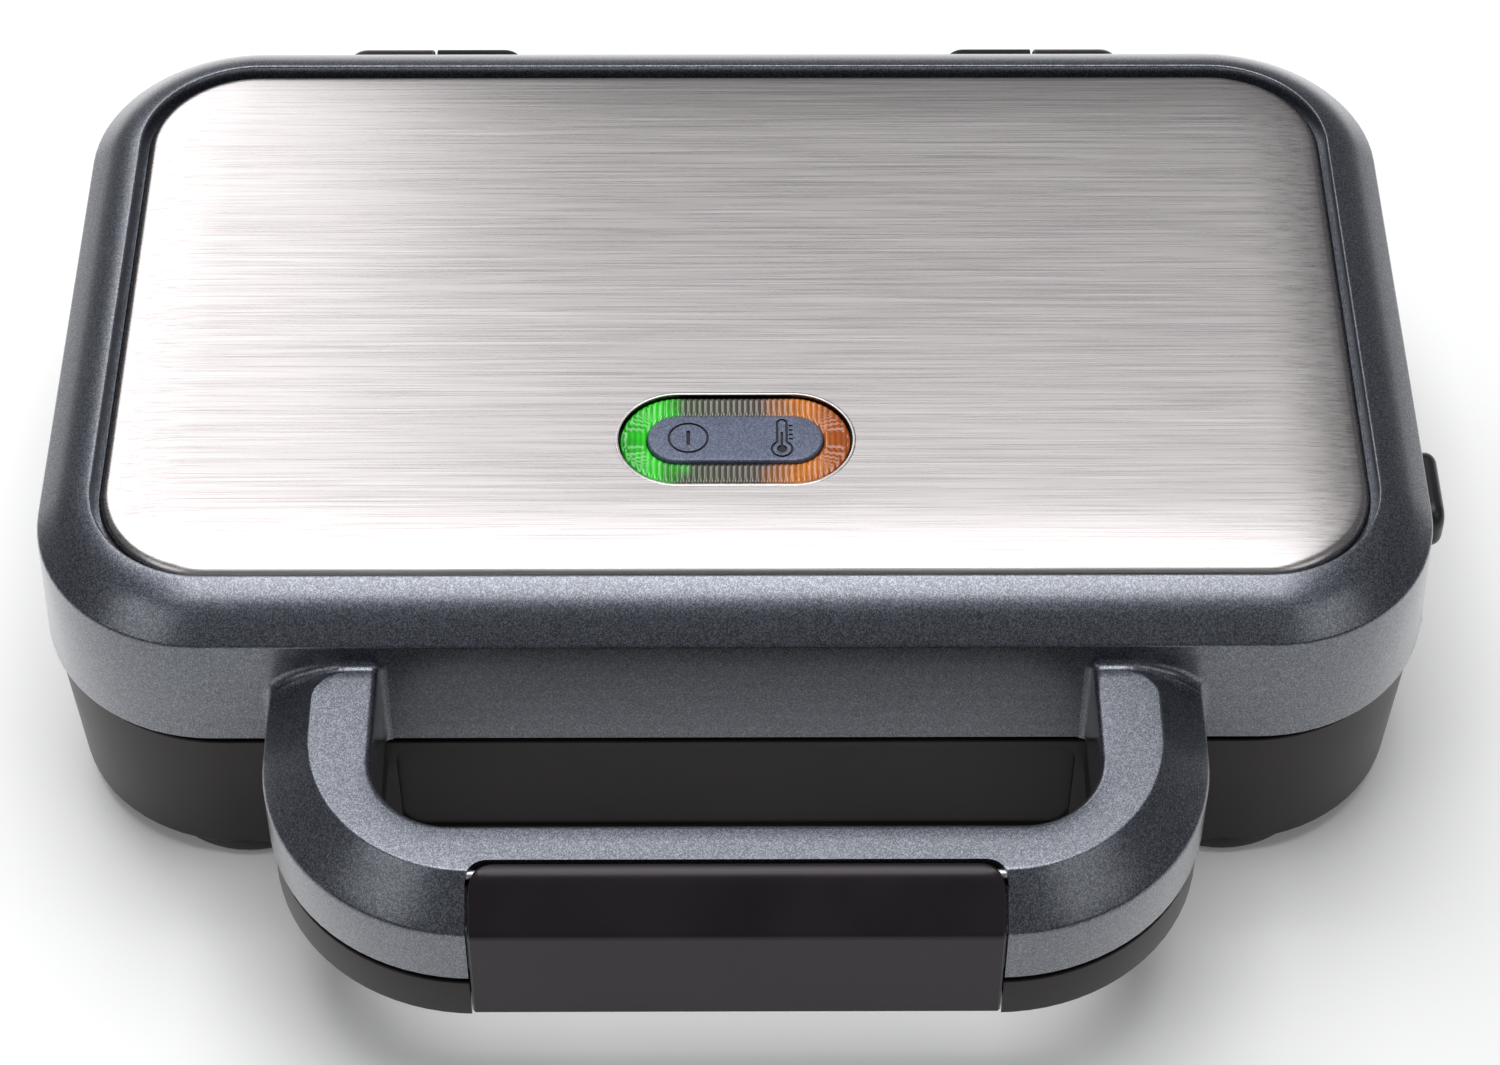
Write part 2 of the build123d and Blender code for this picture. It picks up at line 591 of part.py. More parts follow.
def element(half: Plane) -> BuildPart:
    """Sheathed heating tube: one loop under both wells, its tails out to the rear."""
    corners = [
        (-ELEMENT_TAIL_X, ELEMENT_TAIL_Y),
        (-ELEMENT_TAIL_X, ELEMENT_RUN_Y),
        (-ELEMENT_RUN_X, ELEMENT_RUN_Y),
        (-ELEMENT_RUN_X, -ELEMENT_RUN_Y),
        (ELEMENT_RUN_X, -ELEMENT_RUN_Y),
        (ELEMENT_RUN_X, ELEMENT_RUN_Y),
        (ELEMENT_TAIL_X, ELEMENT_RUN_Y),
        (ELEMENT_TAIL_X, ELEMENT_TAIL_Y),
    ]
    with BuildPart() as tube:
        with BuildLine(half.offset(ELEMENT_DEPTH)) as route:
            FilletPolyline(*corners, radius=ELEMENT_BEND)
        with BuildSketch(Plane(origin=route.line @ 0, z_dir=route.line % 0)):
            Circle(ELEMENT_RADIUS)
        sweep(path=route.line)
    return tube


def element_supports(half: Plane) -> BuildPart:
    """U-shaped saddles on the reflector that hold the element up to the plate."""
    inner = ELEMENT_RADIUS + SUPPORT_PLAY
    floor = REFLECTOR_DEPTH - ELEMENT_DEPTH
    with BuildPart() as supports:
        for x in (-ELEMENT_RUN_X, ELEMENT_RUN_X):
            saddle = half.from_local_coords((x, 0, ELEMENT_DEPTH))
            upright = Plane(saddle, x_dir=half.x_dir, z_dir=(0, 1, 0))
            up = -1 if upright.y_dir.Z * half.z_dir.Z > 0 else 1
            with BuildSketch(upright):
                with Locations((0, -up * floor / 2)):
                    Rectangle(2 * inner + 2 * SUPPORT_SHEET, floor)
                Circle(inner, mode=Mode.SUBTRACT)
                with Locations((0, up * inner / 2)):
                    Rectangle(2 * inner, inner, mode=Mode.SUBTRACT)
            extrude(amount=SUPPORT_WIDTH / 2, both=True)
    return supports


# ----------------------------------------------------------------------------
# Release buttons with their catches, and the springs behind them
# ----------------------------------------------------------------------------


def release_button(half: Plane, face_x: float, z: float, inner_wall_x: float) -> BuildPart:
    """Push button in the right wall, with the catch that holds the plate's tab."""
    flange_x = inner_wall_x - BUTTON_FLANGE_GAP
    web_x = flange_x - BUTTON_FLANGE_THICKNESS
    bar_x = PLATE_WIDTH / 2 + TAB_REACH - TAB_BAR
    stem_x = bar_x - CATCH_CLEARANCE
    away = half.z_dir.Z
    foot_z = MID_Z + away * (FRAME_BACK + CATCH_CLEARANCE)
    nose_z = MID_Z + away * (TAB_FACE - CATCH_CLEARANCE)
    with BuildPart() as button:
        cap_plane = facing_right(web_x, BUTTON_Y, z)
        with BuildSketch(cap_plane):
            RectangleRounded(BUTTON_LENGTH, BUTTON_HEIGHT, BUTTON_CORNER)
        extrude(amount=face_x - web_x)
        fillet(button.faces().sort_by(Axis.X)[-1].edges(), BUTTON_EDGE)
        # Its flange stops level with the cap on the side of the parting gap
        with BuildSketch(cap_plane):
            with Locations((0, away * BUTTON_FLANGE_RIM / 2)):
                RectangleRounded(
                    BUTTON_LENGTH + 2 * BUTTON_FLANGE_RIM,
                    BUTTON_HEIGHT + BUTTON_FLANGE_RIM,
                    BUTTON_CORNER,
                )
        extrude(amount=BUTTON_FLANGE_THICKNESS)
        # The catch hangs from the flange: web, foot, stem and nose in one profile
        with BuildSketch(facing_front(0, BUTTON_Y, 0)):
            with BuildLine():
                Polyline(
                    (web_x, z + away * BUTTON_HEIGHT / 2),
                    (web_x - CATCH_WEB, z + away * BUTTON_HEIGHT / 2),
                    (web_x - CATCH_WEB, foot_z + away * CATCH_STEM),
                    (stem_x - CATCH_STEM, foot_z + away * CATCH_STEM),
                    (stem_x - CATCH_STEM, nose_z - away * CATCH_NOSE_HEIGHT),
                    (stem_x + CATCH_NOSE, nose_z - away * CATCH_NOSE_HEIGHT),
                    (stem_x + CATCH_NOSE, nose_z),
                    (stem_x, nose_z),
                    (stem_x, foot_z),
                    (web_x, foot_z),
                    close=True,
                )
            make_face()
        extrude(amount=CATCH_WIDTH / 2, both=True)
    return button


def button_window() -> None:
    """Outline of the hole that a button's cap slides in."""
    RectangleRounded(
        BUTTON_LENGTH + 2 * BUTTON_GAP,
        BUTTON_HEIGHT + 2 * BUTTON_GAP,
        BUTTON_CORNER + BUTTON_GAP,
    )


def button_spring(half: Plane, inner_wall_x: float, spring_depth: float) -> BuildPart:
    """Bow of spring sheet: its ends on the frame's seat, its middle on the catch."""
    right = right_of(half)
    seat = SPRING_SEAT_X + SPRING_SEAT_SHEET / 2 + SPRING_GAP
    crown = inner_wall_x - BUTTON_FLANGE_GAP - BUTTON_FLANGE_THICKNESS - CATCH_WEB - SPRING_GAP
    ends = [(right * seat, BUTTON_LOCAL_Y + side * SPRING_CHORD / 2) for side in (-1, 1)]
    feet = [(right * (seat + SPRING_SHEET), BUTTON_LOCAL_Y + side * SPRING_CHORD / 2) for side in (-1, 1)]
    with BuildPart() as bow:
        with BuildSketch(half.offset(spring_depth - SPRING_WIDTH / 2)):
            with BuildLine():
                ThreePointArc(ends[0], (right * (crown - SPRING_SHEET), BUTTON_LOCAL_Y), ends[1])
                Line(ends[1], feet[1])
                ThreePointArc(feet[1], (right * crown, BUTTON_LOCAL_Y), feet[0])
                Line(feet[0], ends[0])
            make_face()
        extrude(amount=SPRING_WIDTH)
    return bow


# ----------------------------------------------------------------------------
# Lid
# ----------------------------------------------------------------------------


def handle_plan(inset: float) -> None:
    """Plan of the U handle's block, its rear end inside the casing."""
    half_width = HANDLE_HALF_WIDTH - inset
    front = HANDLE_FRONT_Y + inset
    middle = (front + HANDLE_ROOT_Y) / 2
    with Locations((0, middle - CASING_CENTRE_Y)):
        block = Rectangle(2 * half_width, HANDLE_ROOT_Y - front)
    fillet(block.vertices().group_by(Axis.Y)[0], HANDLE_OUTER_RADIUS - inset)


def handle_gap_plan(inset: float) -> None:
    """Plan of the finger gap, carried back to inside the casing."""
    half_width = HANDLE_GRIP_HALF_GAP + inset
    front = HANDLE_FRONT_Y + HANDLE_BAR - inset
    middle = (front + HANDLE_ROOT_Y) / 2
    with Locations((0, middle - CASING_CENTRE_Y)):
        gap = Rectangle(2 * half_width, HANDLE_ROOT_Y - front)
    fillet(gap.vertices().group_by(Axis.Y)[0], HANDLE_INNER_RADIUS)


def edges_at(solid: BuildPart, z: float) -> ShapeList:
    """The edges of a part that lie in the horizontal plane at height z."""
    return solid.edges().filter_by(lambda edge: edge.bounding_box().min.Z > z - EDGE_MATCH).filter_by(
        lambda edge: edge.bounding_box().max.Z < z + EDGE_MATCH
    )


def arm_root_edges(solid: BuildPart) -> ShapeList:
    """The edges where the handle's arms meet the casing's front wall."""
    wall_front = FRONT_Y - RIM_FLARE - EDGE_MATCH
    wall_rear = FRONT_Y + EDGE_MATCH
    reach = HANDLE_HALF_WIDTH + EDGE_MATCH
    on_wall = solid.edges().filter_by(lambda edge: edge.bounding_box().min.Y > wall_front)
    on_wall = on_wall.filter_by(lambda edge: edge.bounding_box().max.Y < wall_rear)
    on_wall = on_wall.filter_by(lambda edge: edge.bounding_box().max.Z < CREASE_Z - CREASE_FILLET)
    on_wall = on_wall.filter_by(lambda edge: edge.bounding_box().max.Z > LID_RIM_Z + EDGE_MATCH)
    return on_wall.filter_by(lambda edge: HANDLE_GRIP_HALF_GAP - EDGE_MATCH < abs(edge.center().X) < reach)


def latch_section(clearance: float) -> None:
    """Section of the latch, or of its recess when grown inwards by a clearance."""
    front = HANDLE_FRONT_Y - LATCH_PROUD
    inner = front + LATCH_WALL + clearance
    pivot = (LATCH_PIVOT_Y, LATCH_PIVOT_Z)
    barrel = LATCH_BARREL_RADIUS + clearance
    crest = HANDLE_CREST_Z
    Polygon(
        (LATCH_PIVOT_Y, LATCH_PIVOT_Z + LATCH_BARREL_RADIUS),
        (LATCH_PIVOT_Y - LATCH_PROUD, LATCH_PIVOT_Z + LATCH_BARREL_RADIUS),
        (front, crest),
        (front, LATCH_FOOT_Z),
        (inner, LATCH_FOOT_Z),
        (inner, crest - clearance),
        (LATCH_PIVOT_Y, LATCH_PIVOT_Z - clearance),
        align=None,
    )
    with Locations(pivot):
        Circle(barrel)


with BuildPart() as latch_recess:
    with BuildSketch(across(0)):
        latch_section(LATCH_CLEARANCE)
    extrude(amount=LATCH_HALF_WIDTH + LATCH_CLEARANCE, both=True)
    # Everything in front of the latch goes too, so that the recess is open
    with BuildSketch(across(0)):
        with BuildLine():
            Polyline(
                (LATCH_PIVOT_Y, HANDLE_TOP_Z + LATCH_WALL),
                (HANDLE_FRONT_Y - LATCH_WALL, HANDLE_TOP_Z + LATCH_WALL),
                (HANDLE_FRONT_Y - LATCH_WALL, LOWER_HANDLE_Z),
                (HANDLE_FRONT_Y, LOWER_HANDLE_Z),
                (HANDLE_FRONT_Y, HANDLE_CREST_Z),
                (LATCH_PIVOT_Y, LATCH_PIVOT_Z),
                close=True,
            )
        make_face()
    extrude(amount=LATCH_HALF_WIDTH + LATCH_CLEARANCE, both=True)
    recess_rear = LATCH_PIVOT_Y + LATCH_BARREL_RADIUS + LATCH_CLEARANCE
    with BuildSketch(Plane.XY.offset(LOWER_HANDLE_Z)):
        with Locations((0, recess_rear - HANDLE_REACH / 2)):
            RectangleRounded(2 * (LATCH_HALF_WIDTH + LATCH_CLEARANCE), HANDLE_REACH, LATCH_RECESS_CORNER)
    extrude(amount=HANDLE_REACH, mode=Mode.INTERSECT)


lid_posts = screw_posts(UPPER, DECK_UNDER_Z - MID_Z)

with BuildPart() as lid_casing:
    # U handle's upper half: upright sides to the crest, then the sloping band
    with BuildSketch(level(LID_RIM_Z)):
        handle_plan(0)
    extrude(amount=HANDLE_CREST_Z - LID_RIM_Z)
    with BuildSketch(level(HANDLE_CREST_Z)):
        handle_plan(0)
    extrude(amount=HANDLE_BAND_DROP, taper=degrees(atan2(HANDLE_BAND_INSET, HANDLE_BAND_DROP)))
    with BuildSketch(level(LID_RIM_Z)):
        handle_gap_plan(0)
    extrude(amount=HANDLE_TOP_Z - LID_RIM_Z, mode=Mode.SUBTRACT)
    fillet(edges_at(lid_casing, HANDLE_CREST_Z), HANDLE_CREST_FILLET)
    fillet(edges_at(lid_casing, HANDLE_TOP_Z), HANDLE_TOP_FILLET)
    add(latch_recess.part, mode=Mode.SUBTRACT)
    # Flared wall
    with BuildSketch(level(LID_RIM_Z)):
        RectangleRounded(CASING_WIDTH + 2 * RIM_FLARE, CASING_DEPTH + 2 * RIM_FLARE, RIM_RADIUS)
    with BuildSketch(level(CREASE_Z)):
        RectangleRounded(CASING_WIDTH, CASING_DEPTH, CREASE_RADIUS)
    loft(ruled=True)
    # Crown
    with BuildSketch(level(CREASE_Z)):
        RectangleRounded(CASING_WIDTH, CASING_DEPTH, CREASE_RADIUS)
    extrude(amount=CROWN_HEIGHT, taper=degrees(atan2(CROWN_INSET, CROWN_HEIGHT)))
    fillet(lid_casing.faces().sort_by(Axis.Z)[-1].edges(), CROWN_RADIUS)
    fillet(edges_at(lid_casing, CREASE_Z), CREASE_FILLET)
    fillet(arm_root_edges(lid_casing), HANDLE_ROOT_FILLET)
    # Recess for the top plate, cavity for the upper cooking plate
    with BuildSketch(level(DECK_Z)):
        RectangleRounded(
            TOP_PLATE_WIDTH + 2 * TOP_PLATE_GAP,
            TOP_PLATE_DEPTH + 2 * TOP_PLATE_GAP,
            TOP_PLATE_RADIUS + TOP_PLATE_GAP,
        )
    extrude(amount=CROWN_HEIGHT, mode=Mode.SUBTRACT)
    with BuildSketch(level(LID_RIM_Z)):
        RectangleRounded(LID_CAVITY_WIDTH, LID_CAVITY_DEPTH, LID_CAVITY_RADIUS)
    extrude(amount=DECK_UNDER_Z - LID_RIM_Z, mode=Mode.SUBTRACT)
    add(lid_posts.part)
    # Slot in the deck for the lamps
    with BuildSketch(Plane((0, INDICATOR_Y, DECK_UNDER_Z))):
        SlotOverall(INDICATOR_WIDTH - 2 * LENS_FLANGE, INDICATOR_HEIGHT - 2 * LENS_BAND - 2 * LENS_FLANGE)
    extrude(amount=DECK_THICKNESS, mode=Mode.SUBTRACT)
    # Window for the upper release button
    with BuildSketch(facing_right(LID_CAVITY_WIDTH / 2 - WALL, BUTTON_Y, UPPER_BUTTON_Z)):
        button_window()
    extrude(amount=WALL_CUT, mode=Mode.SUBTRACT)
    # Windows for the hinge brackets' necks
    for side in (-1, 1):
        neck_middle = side * (HINGE_SPACING / 2 - KNUCKLE_SPLIT / 2 - KNUCKLE_STRAIGHT / 2)
        with BuildSketch(facing_rear(neck_middle, LID_CAVITY_REAR_Y - WALL, HINGE_HEIGHT)):
            Rectangle(KNUCKLE_STRAIGHT + 2 * BRACKET_CLEARANCE, 2 * (KNUCKLE_RADIUS + BRACKET_CLEARANCE))
        extrude(amount=WALL_CUT, mode=Mode.SUBTRACT)
    # Bore for the latch pin, blind at both ends
    with BuildSketch(facing_right(0, LATCH_PIVOT_Y, LATCH_PIVOT_Z)):
        Circle(LATCH_PIN_RADIUS + LATCH_PIN_PLAY)
    extrude(amount=LATCH_HALF_WIDTH + LATCH_CLEARANCE + LATCH_PIN_HOLD, both=True, mode=Mode.SUBTRACT)

with BuildPart() as top_plate:
    with BuildSketch(level(DECK_Z)):
        RectangleRounded(TOP_PLATE_WIDTH, TOP_PLATE_DEPTH, TOP_PLATE_RADIUS)
    extrude(amount=DECK_DROP)
    fillet(top_plate.faces().sort_by(Axis.Z)[-1].edges(), TOP_PLATE_EDGE)
    offset(amount=-TOP_PLATE_SHEET, openings=top_plate.faces().sort_by(Axis.Z)[0])
    with BuildSketch(Plane((0, INDICATOR_Y, DECK_Z))):
        SlotOverall(INDICATOR_WIDTH, INDICATOR_HEIGHT)
    extrude(amount=DECK_DROP, mode=Mode.SUBTRACT)

with BuildPart() as indicator_lens:
    lens_width = INDICATOR_WIDTH - 2 * LENS_GAP
    lens_height = INDICATOR_HEIGHT - 2 * LENS_GAP
    with BuildSketch(Plane((0, INDICATOR_Y, DECK_Z))):
        SlotOverall(INDICATOR_WIDTH + 2 * LENS_FLANGE, INDICATOR_HEIGHT + 2 * LENS_FLANGE)
    extrude(amount=LENS_FLANGE_HEIGHT)
    with BuildSketch(Plane((0, INDICATOR_Y, DECK_Z))):
        SlotOverall(lens_width, lens_height)
    extrude(amount=DECK_DROP - LENS_DROP)
    with BuildSketch(Plane((0, INDICATOR_Y, DECK_Z))):
        SlotOverall(lens_width - 2 * LENS_BAND, lens_height - 2 * LENS_BAND)
    extrude(amount=DECK_DROP, mode=Mode.SUBTRACT)

with BuildPart() as indicator_badge:
    badge_width = lens_width - 2 * LENS_BAND - 2 * BADGE_GAP
    badge_height = lens_height - 2 * LENS_BAND - 2 * BADGE_GAP
    with BuildSketch(Plane((0, INDICATOR_Y, DECK_Z))):
        SlotOverall(badge_width, badge_height)
    extrude(amount=DECK_DROP + BADGE_RISE)
    fillet(indicator_badge.faces().sort_by(Axis.Z)[-1].edges(), BADGE_DOME)
    # Hollow from below, so that the lamps' light reaches the lens
    with BuildSketch(Plane((0, INDICATOR_Y, DECK_Z))):
        SlotOverall(badge_width - 2 * LENS_FLANGE, badge_height - 2 * LENS_FLANGE)
    extrude(amount=DECK_DROP - LENS_FLANGE, mode=Mode.SUBTRACT)

lamp_x = (INDICATOR_WIDTH - INDICATOR_HEIGHT) / 2

with BuildPart() as lamp_board:
    with BuildSketch(Plane((0, INDICATOR_Y, DECK_UNDER_Z))):
        RectangleRounded(LAMP_BOARD_LENGTH, LAMP_BOARD_WIDTH, LENS_FLANGE)
    extrude(amount=-LAMP_BOARD_THICKNESS)


def lamp(x: float) -> BuildPart:
    """Round-topped lamp standing on the board."""
    with BuildPart() as bulb:
        with BuildSketch(Plane((x, INDICATOR_Y, DECK_UNDER_Z))):
            Circle(LAMP_RADIUS)
        extrude(amount=LAMP_HEIGHT)
        fillet(bulb.faces().sort_by(Axis.Z)[-1].edges(), LAMP_RADIUS / 2)
    return bulb


power_lamp = lamp(-lamp_x)
ready_lamp = lamp(lamp_x)

lid_frame = plate_frame(
    UPPER, LID_CAVITY_WIDTH, LID_CAVITY_DEPTH, LID_CAVITY_RADIUS, UPPER_BUTTON_DEPTH, UPPER_SPRING_DEPTH
)
upper_button_spring = button_spring(UPPER, LID_CAVITY_WIDTH / 2, UPPER_SPRING_DEPTH)
upper_cooking_plate = cooking_plate(UPPER)
upper_reflector = reflector(UPPER)
upper_element = element(UPPER)
upper_element_supports = element_supports(UPPER)
lid_screws = frame_screws(UPPER)


def knuckle(start: float, out: int) -> BuildPart:
    """One hinge knuckle from its split face outwards, its far end rounded down."""
    with BuildPart() as barrel:
        with BuildSketch(Plane((start, HINGE_Y, HINGE_HEIGHT), x_dir=(0, 1, 0), z_dir=(out, 0, 0))):
            Circle(KNUCKLE_RADIUS)
        extrude(amount=KNUCKLE_LENGTH)
        fillet(barrel.faces().sort_by(Axis.X)[-1 if out > 0 else 0].edges(), KNUCKLE_END)
    return barrel


inner_knuckles = [knuckle(side * (HINGE_SPACING / 2 - KNUCKLE_SPLIT / 2), -side) for side in (-1, 1)]


with BuildPart() as lid_hinge_brackets:
    for barrel in inner_knuckles:
        add(barrel.part)
    for side in (-1, 1):
        split = side * (HINGE_SPACING / 2 - KNUCKLE_SPLIT / 2)
        middle = split - side * KNUCKLE_STRAIGHT / 2
        with BuildSketch(facing_front(middle, HINGE_Y, HINGE_HEIGHT)):
            Rectangle(KNUCKLE_STRAIGHT, 2 * KNUCKLE_RADIUS)
        extrude(amount=HINGE_Y - LID_CAVITY_REAR_Y + BRACKET_PLATE)
        with BuildSketch(facing_front(middle, LID_CAVITY_REAR_Y, HINGE_HEIGHT)):
            RectangleRounded(
                KNUCKLE_STRAIGHT + 2 * BRACKET_MARGIN,
                2 * (KNUCKLE_RADIUS + BRACKET_MARGIN),
                BRACKET_MARGIN,
            )
        extrude(amount=BRACKET_PLATE)
        with BuildSketch(Plane((split, HINGE_Y, HINGE_HEIGHT), x_dir=(0, 1, 0), z_dir=(-side, 0, 0))):
            Circle(HINGE_PIN_RADIUS + HINGE_PIN_PLAY)
        extrude(amount=HINGE_PIN_LENGTH / 2, mode=Mode.SUBTRACT)

with BuildPart() as latch:
    with BuildSketch(across(0)):
        latch_section(0)
    extrude(amount=LATCH_HALF_WIDTH, both=True)
    # Hook under the lower handle
    with BuildSketch(across(0)):
        inner_face = HANDLE_FRONT_Y - LATCH_PROUD + LATCH_WALL
        with BuildLine():
            Polyline(
                (inner_face - LATCH_WALL / 2, LATCH_FOOT_Z),
                (inner_face + LATCH_HOOK_REACH, LATCH_FOOT_Z),
                (inner_face + LATCH_HOOK_REACH, LATCH_FOOT_Z + LATCH_HOOK_HEIGHT / 2),
                (inner_face, LATCH_FOOT_Z + LATCH_HOOK_HEIGHT),
                (inner_face - LATCH_WALL / 2, LATCH_FOOT_Z + LATCH_HOOK_HEIGHT),
                close=True,
            )
        make_face()
    extrude(amount=LATCH_HALF_WIDTH, both=True)
    latch_rear = LATCH_PIVOT_Y + LATCH_BARREL_RADIUS
    with BuildSketch(Plane.XY.offset(LOWER_HANDLE_Z)):
        with Locations((0, latch_rear - HANDLE_REACH / 2)):
            RectangleRounded(2 * LATCH_HALF_WIDTH, HANDLE_REACH, LATCH_CORNER)
    extrude(amount=HANDLE_REACH, mode=Mode.INTERSECT)
    with BuildSketch(facing_right(0, LATCH_PIVOT_Y, LATCH_PIVOT_Z)):
        Circle(LATCH_PIN_RADIUS + LATCH_PIN_PLAY)
    extrude(amount=LATCH_HALF_WIDTH, both=True, mode=Mode.SUBTRACT)

with BuildPart() as latch_pin:
    with BuildSketch(facing_right(0, LATCH_PIVOT_Y, LATCH_PIVOT_Z)):
        Circle(LATCH_PIN_RADIUS)
    extrude(amount=LATCH_HALF_WIDTH + LATCH_PIN_HOLD, both=True)

upper_release_button = release_button(UPPER, UPPER_BUTTON_FACE_X, UPPER_BUTTON_Z, LID_CAVITY_WIDTH / 2)

# ----------------------------------------------------------------------------
# Base
# ----------------------------------------------------------------------------

base_posts = screw_posts(LOWER, MID_Z - FLOOR_Z)
outer_knuckles = [knuckle(side * (HINGE_SPACING / 2 + KNUCKLE_SPLIT / 2), side) for side in (-1, 1)]

with BuildPart() as base_casing:
    # U handle's lower half
    with BuildSketch(level(LOWER_HANDLE_Z)):
        handle_plan(LOWER_HANDLE_INSET)
    extrude(amount=LOWER_HANDLE_HEIGHT)
    with BuildSketch(level(LOWER_HANDLE_Z)):
        handle_gap_plan(LOWER_HANDLE_INSET)
    extrude(amount=LOWER_HANDLE_HEIGHT, mode=Mode.SUBTRACT)
    fillet(edges_at(base_casing, LOWER_HANDLE_Z), LOWER_HANDLE_FILLET)
    # Front face set back behind the latch, and the ledge that its hook grips
    ledge_front = HANDLE_FRONT_Y - LATCH_PROUD + LATCH_WALL + LATCH_CLEARANCE
    ledge_rear = ledge_front + LATCH_HOOK_REACH + 2 * LATCH_CLEARANCE
    with BuildSketch(Plane.XY.offset(LOWER_HANDLE_Z)):
        with Locations((0, ledge_front - HANDLE_REACH / 2)):
            Rectangle(2 * (LATCH_HALF_WIDTH + LATCH_CLEARANCE), HANDLE_REACH)
    extrude(amount=LOWER_HANDLE_HEIGHT, mode=Mode.SUBTRACT)
    with BuildSketch(Plane.XY.offset(LOWER_HANDLE_Z)):
        with Locations((0, ledge_rear - HANDLE_REACH / 2)):
            Rectangle(2 * (LATCH_HALF_WIDTH + LATCH_CLEARANCE), HANDLE_REACH)
    extrude(amount=LATCH_FOOT_RISE + LATCH_HOOK_HEIGHT + LATCH_HOOK_CLEARANCE, mode=Mode.SUBTRACT)
    # Tub, flared towards its rim
    with BuildSketch(level(FOOT_HEIGHT)):
        RectangleRounded(BASE_WIDTH, BASE_DEPTH, BASE_RADIUS)
    with BuildSketch(level(BASE_RIM_Z)):
        RectangleRounded(
            BASE_WIDTH + 2 * BASE_FLARE, BASE_DEPTH + 2 * BASE_FLARE, BASE_RADIUS + BASE_FLARE
        )
    loft(ruled=True)
    fillet(edges_at(base_casing, FOOT_HEIGHT), BASE_EDGE_FILLET)
    panel_middle = BASE_RIM_Z - PANEL_MARGIN - PANEL_HEIGHT / 2
    with BuildSketch(facing_front(0, BASE_FRONT_Y - BASE_FLARE, panel_middle)):
        RectangleRounded(2 * (HANDLE_GRIP_HALF_GAP - PANEL_MARGIN), PANEL_HEIGHT, PANEL_RADIUS)
    extrude(amount=-BASE_FLARE - PANEL_RECESS, mode=Mode.SUBTRACT)
    with BuildSketch(level(FLOOR_Z)):
        RectangleRounded(BASE_CAVITY_WIDTH, BASE_CAVITY_DEPTH, BASE_CAVITY_RADIUS)
    extrude(amount=BASE_HEIGHT, mode=Mode.SUBTRACT)
    add(base_posts.part)
    # Moulded feet with seats for the rubber pads
    with BuildSketch(level(FOOT_HEIGHT)):
        with GridLocations(FOOT_SPAN_X, FOOT_SPAN_Y, 2, 2):
            Circle(FOOT_RADIUS)
    extrude(amount=-FOOT_PAD_HEIGHT)
    with BuildSketch(level(FOOT_HEIGHT - FOOT_PAD_HEIGHT)):
        with GridLocations(FOOT_SPAN_X, FOOT_SPAN_Y, 2, 2):
            Circle(RUBBER_RADIUS)
    extrude(amount=RUBBER_SEAT, mode=Mode.SUBTRACT)
    # Vents in the floor
    with BuildSketch(level(FOOT_HEIGHT)):
        for x in (-WELL_SPACING / 2, WELL_SPACING / 2):
            with Locations((x, 0)):
                with GridLocations(VENT_PITCH, 0, VENT_COUNT, 1):
                    SlotOverall(VENT_LENGTH, VENT_WIDTH, rotation=90)
    extrude(amount=FLOOR_THICKNESS, mode=Mode.SUBTRACT)
    # Hinge towers up to the outer knuckles
    for barrel in outer_knuckles:
        add(barrel.part)
    for side in (-1, 1):
        split = side * (HINGE_SPACING / 2 + KNUCKLE_SPLIT / 2)
        with BuildSketch(across(split)):
            with BuildLine():
                Polyline(
                    (REAR_Y + TOWER_GAP, HINGE_HEIGHT),
                    (REAR_Y + TOWER_GAP, BASE_RIM_Z),
                    (BASE_REAR_Y - WALL / 2, BASE_RIM_Z),
                    (BASE_REAR_Y - WALL / 2, FOOT_HEIGHT + TOWER_FOOT / 2),
                    (BASE_REAR_Y, FOOT_HEIGHT + TOWER_FOOT / 2),
                    (HINGE_Y + KNUCKLE_RADIUS, FOOT_HEIGHT + TOWER_FOOT),
                    (HINGE_Y + KNUCKLE_RADIUS, HINGE_HEIGHT),
                    close=True,
                )
            make_face()
        extrude(amount=side * KNUCKLE_STRAIGHT)
        with BuildSketch(Plane((split, HINGE_Y, HINGE_HEIGHT), x_dir=(0, 1, 0), z_dir=(side, 0, 0))):
            Circle(HINGE_PIN_RADIUS + HINGE_PIN_PLAY)
        extrude(amount=HINGE_PIN_LENGTH / 2, mode=Mode.SUBTRACT)
    # Window for the lower release button and hole for the cord gland
    with BuildSketch(facing_right(BASE_CAVITY_WIDTH / 2 - WALL, BUTTON_Y, LOWER_BUTTON_Z)):
        button_window()
    extrude(amount=WALL_CUT, mode=Mode.SUBTRACT)
    with BuildSketch(facing_rear(0, BASE_REAR_Y - 2 * WALL, GLAND_Z)):
        Circle(GLAND_RADIUS + GLAND_GROOVE_PLAY)
    extrude(amount=WALL_CUT, mode=Mode.SUBTRACT)
    with BuildSketch(facing_rear(0, GLAND_SEAT_Y, GLAND_Z)):
        Circle(GLAND_FLANGE_RADIUS + GLAND_SEAT_PLAY)
    extrude(amount=BASE_FLARE, mode=Mode.SUBTRACT)

base_frame = plate_frame(
    LOWER, BASE_CAVITY_WIDTH, BASE_CAVITY_DEPTH, BASE_CAVITY_RADIUS, LOWER_BUTTON_DEPTH, LOWER_SPRING_DEPTH
)
lower_button_spring = button_spring(LOWER, BASE_CAVITY_WIDTH / 2, LOWER_SPRING_DEPTH)
lower_cooking_plate = cooking_plate(LOWER)
lower_reflector = reflector(LOWER)
lower_element = element(LOWER)
lower_element_supports = element_supports(LOWER)
base_screws = frame_screws(LOWER)
lower_release_button = release_button(LOWER, LOWER_BUTTON_FACE_X, LOWER_BUTTON_Z, BASE_CAVITY_WIDTH / 2)

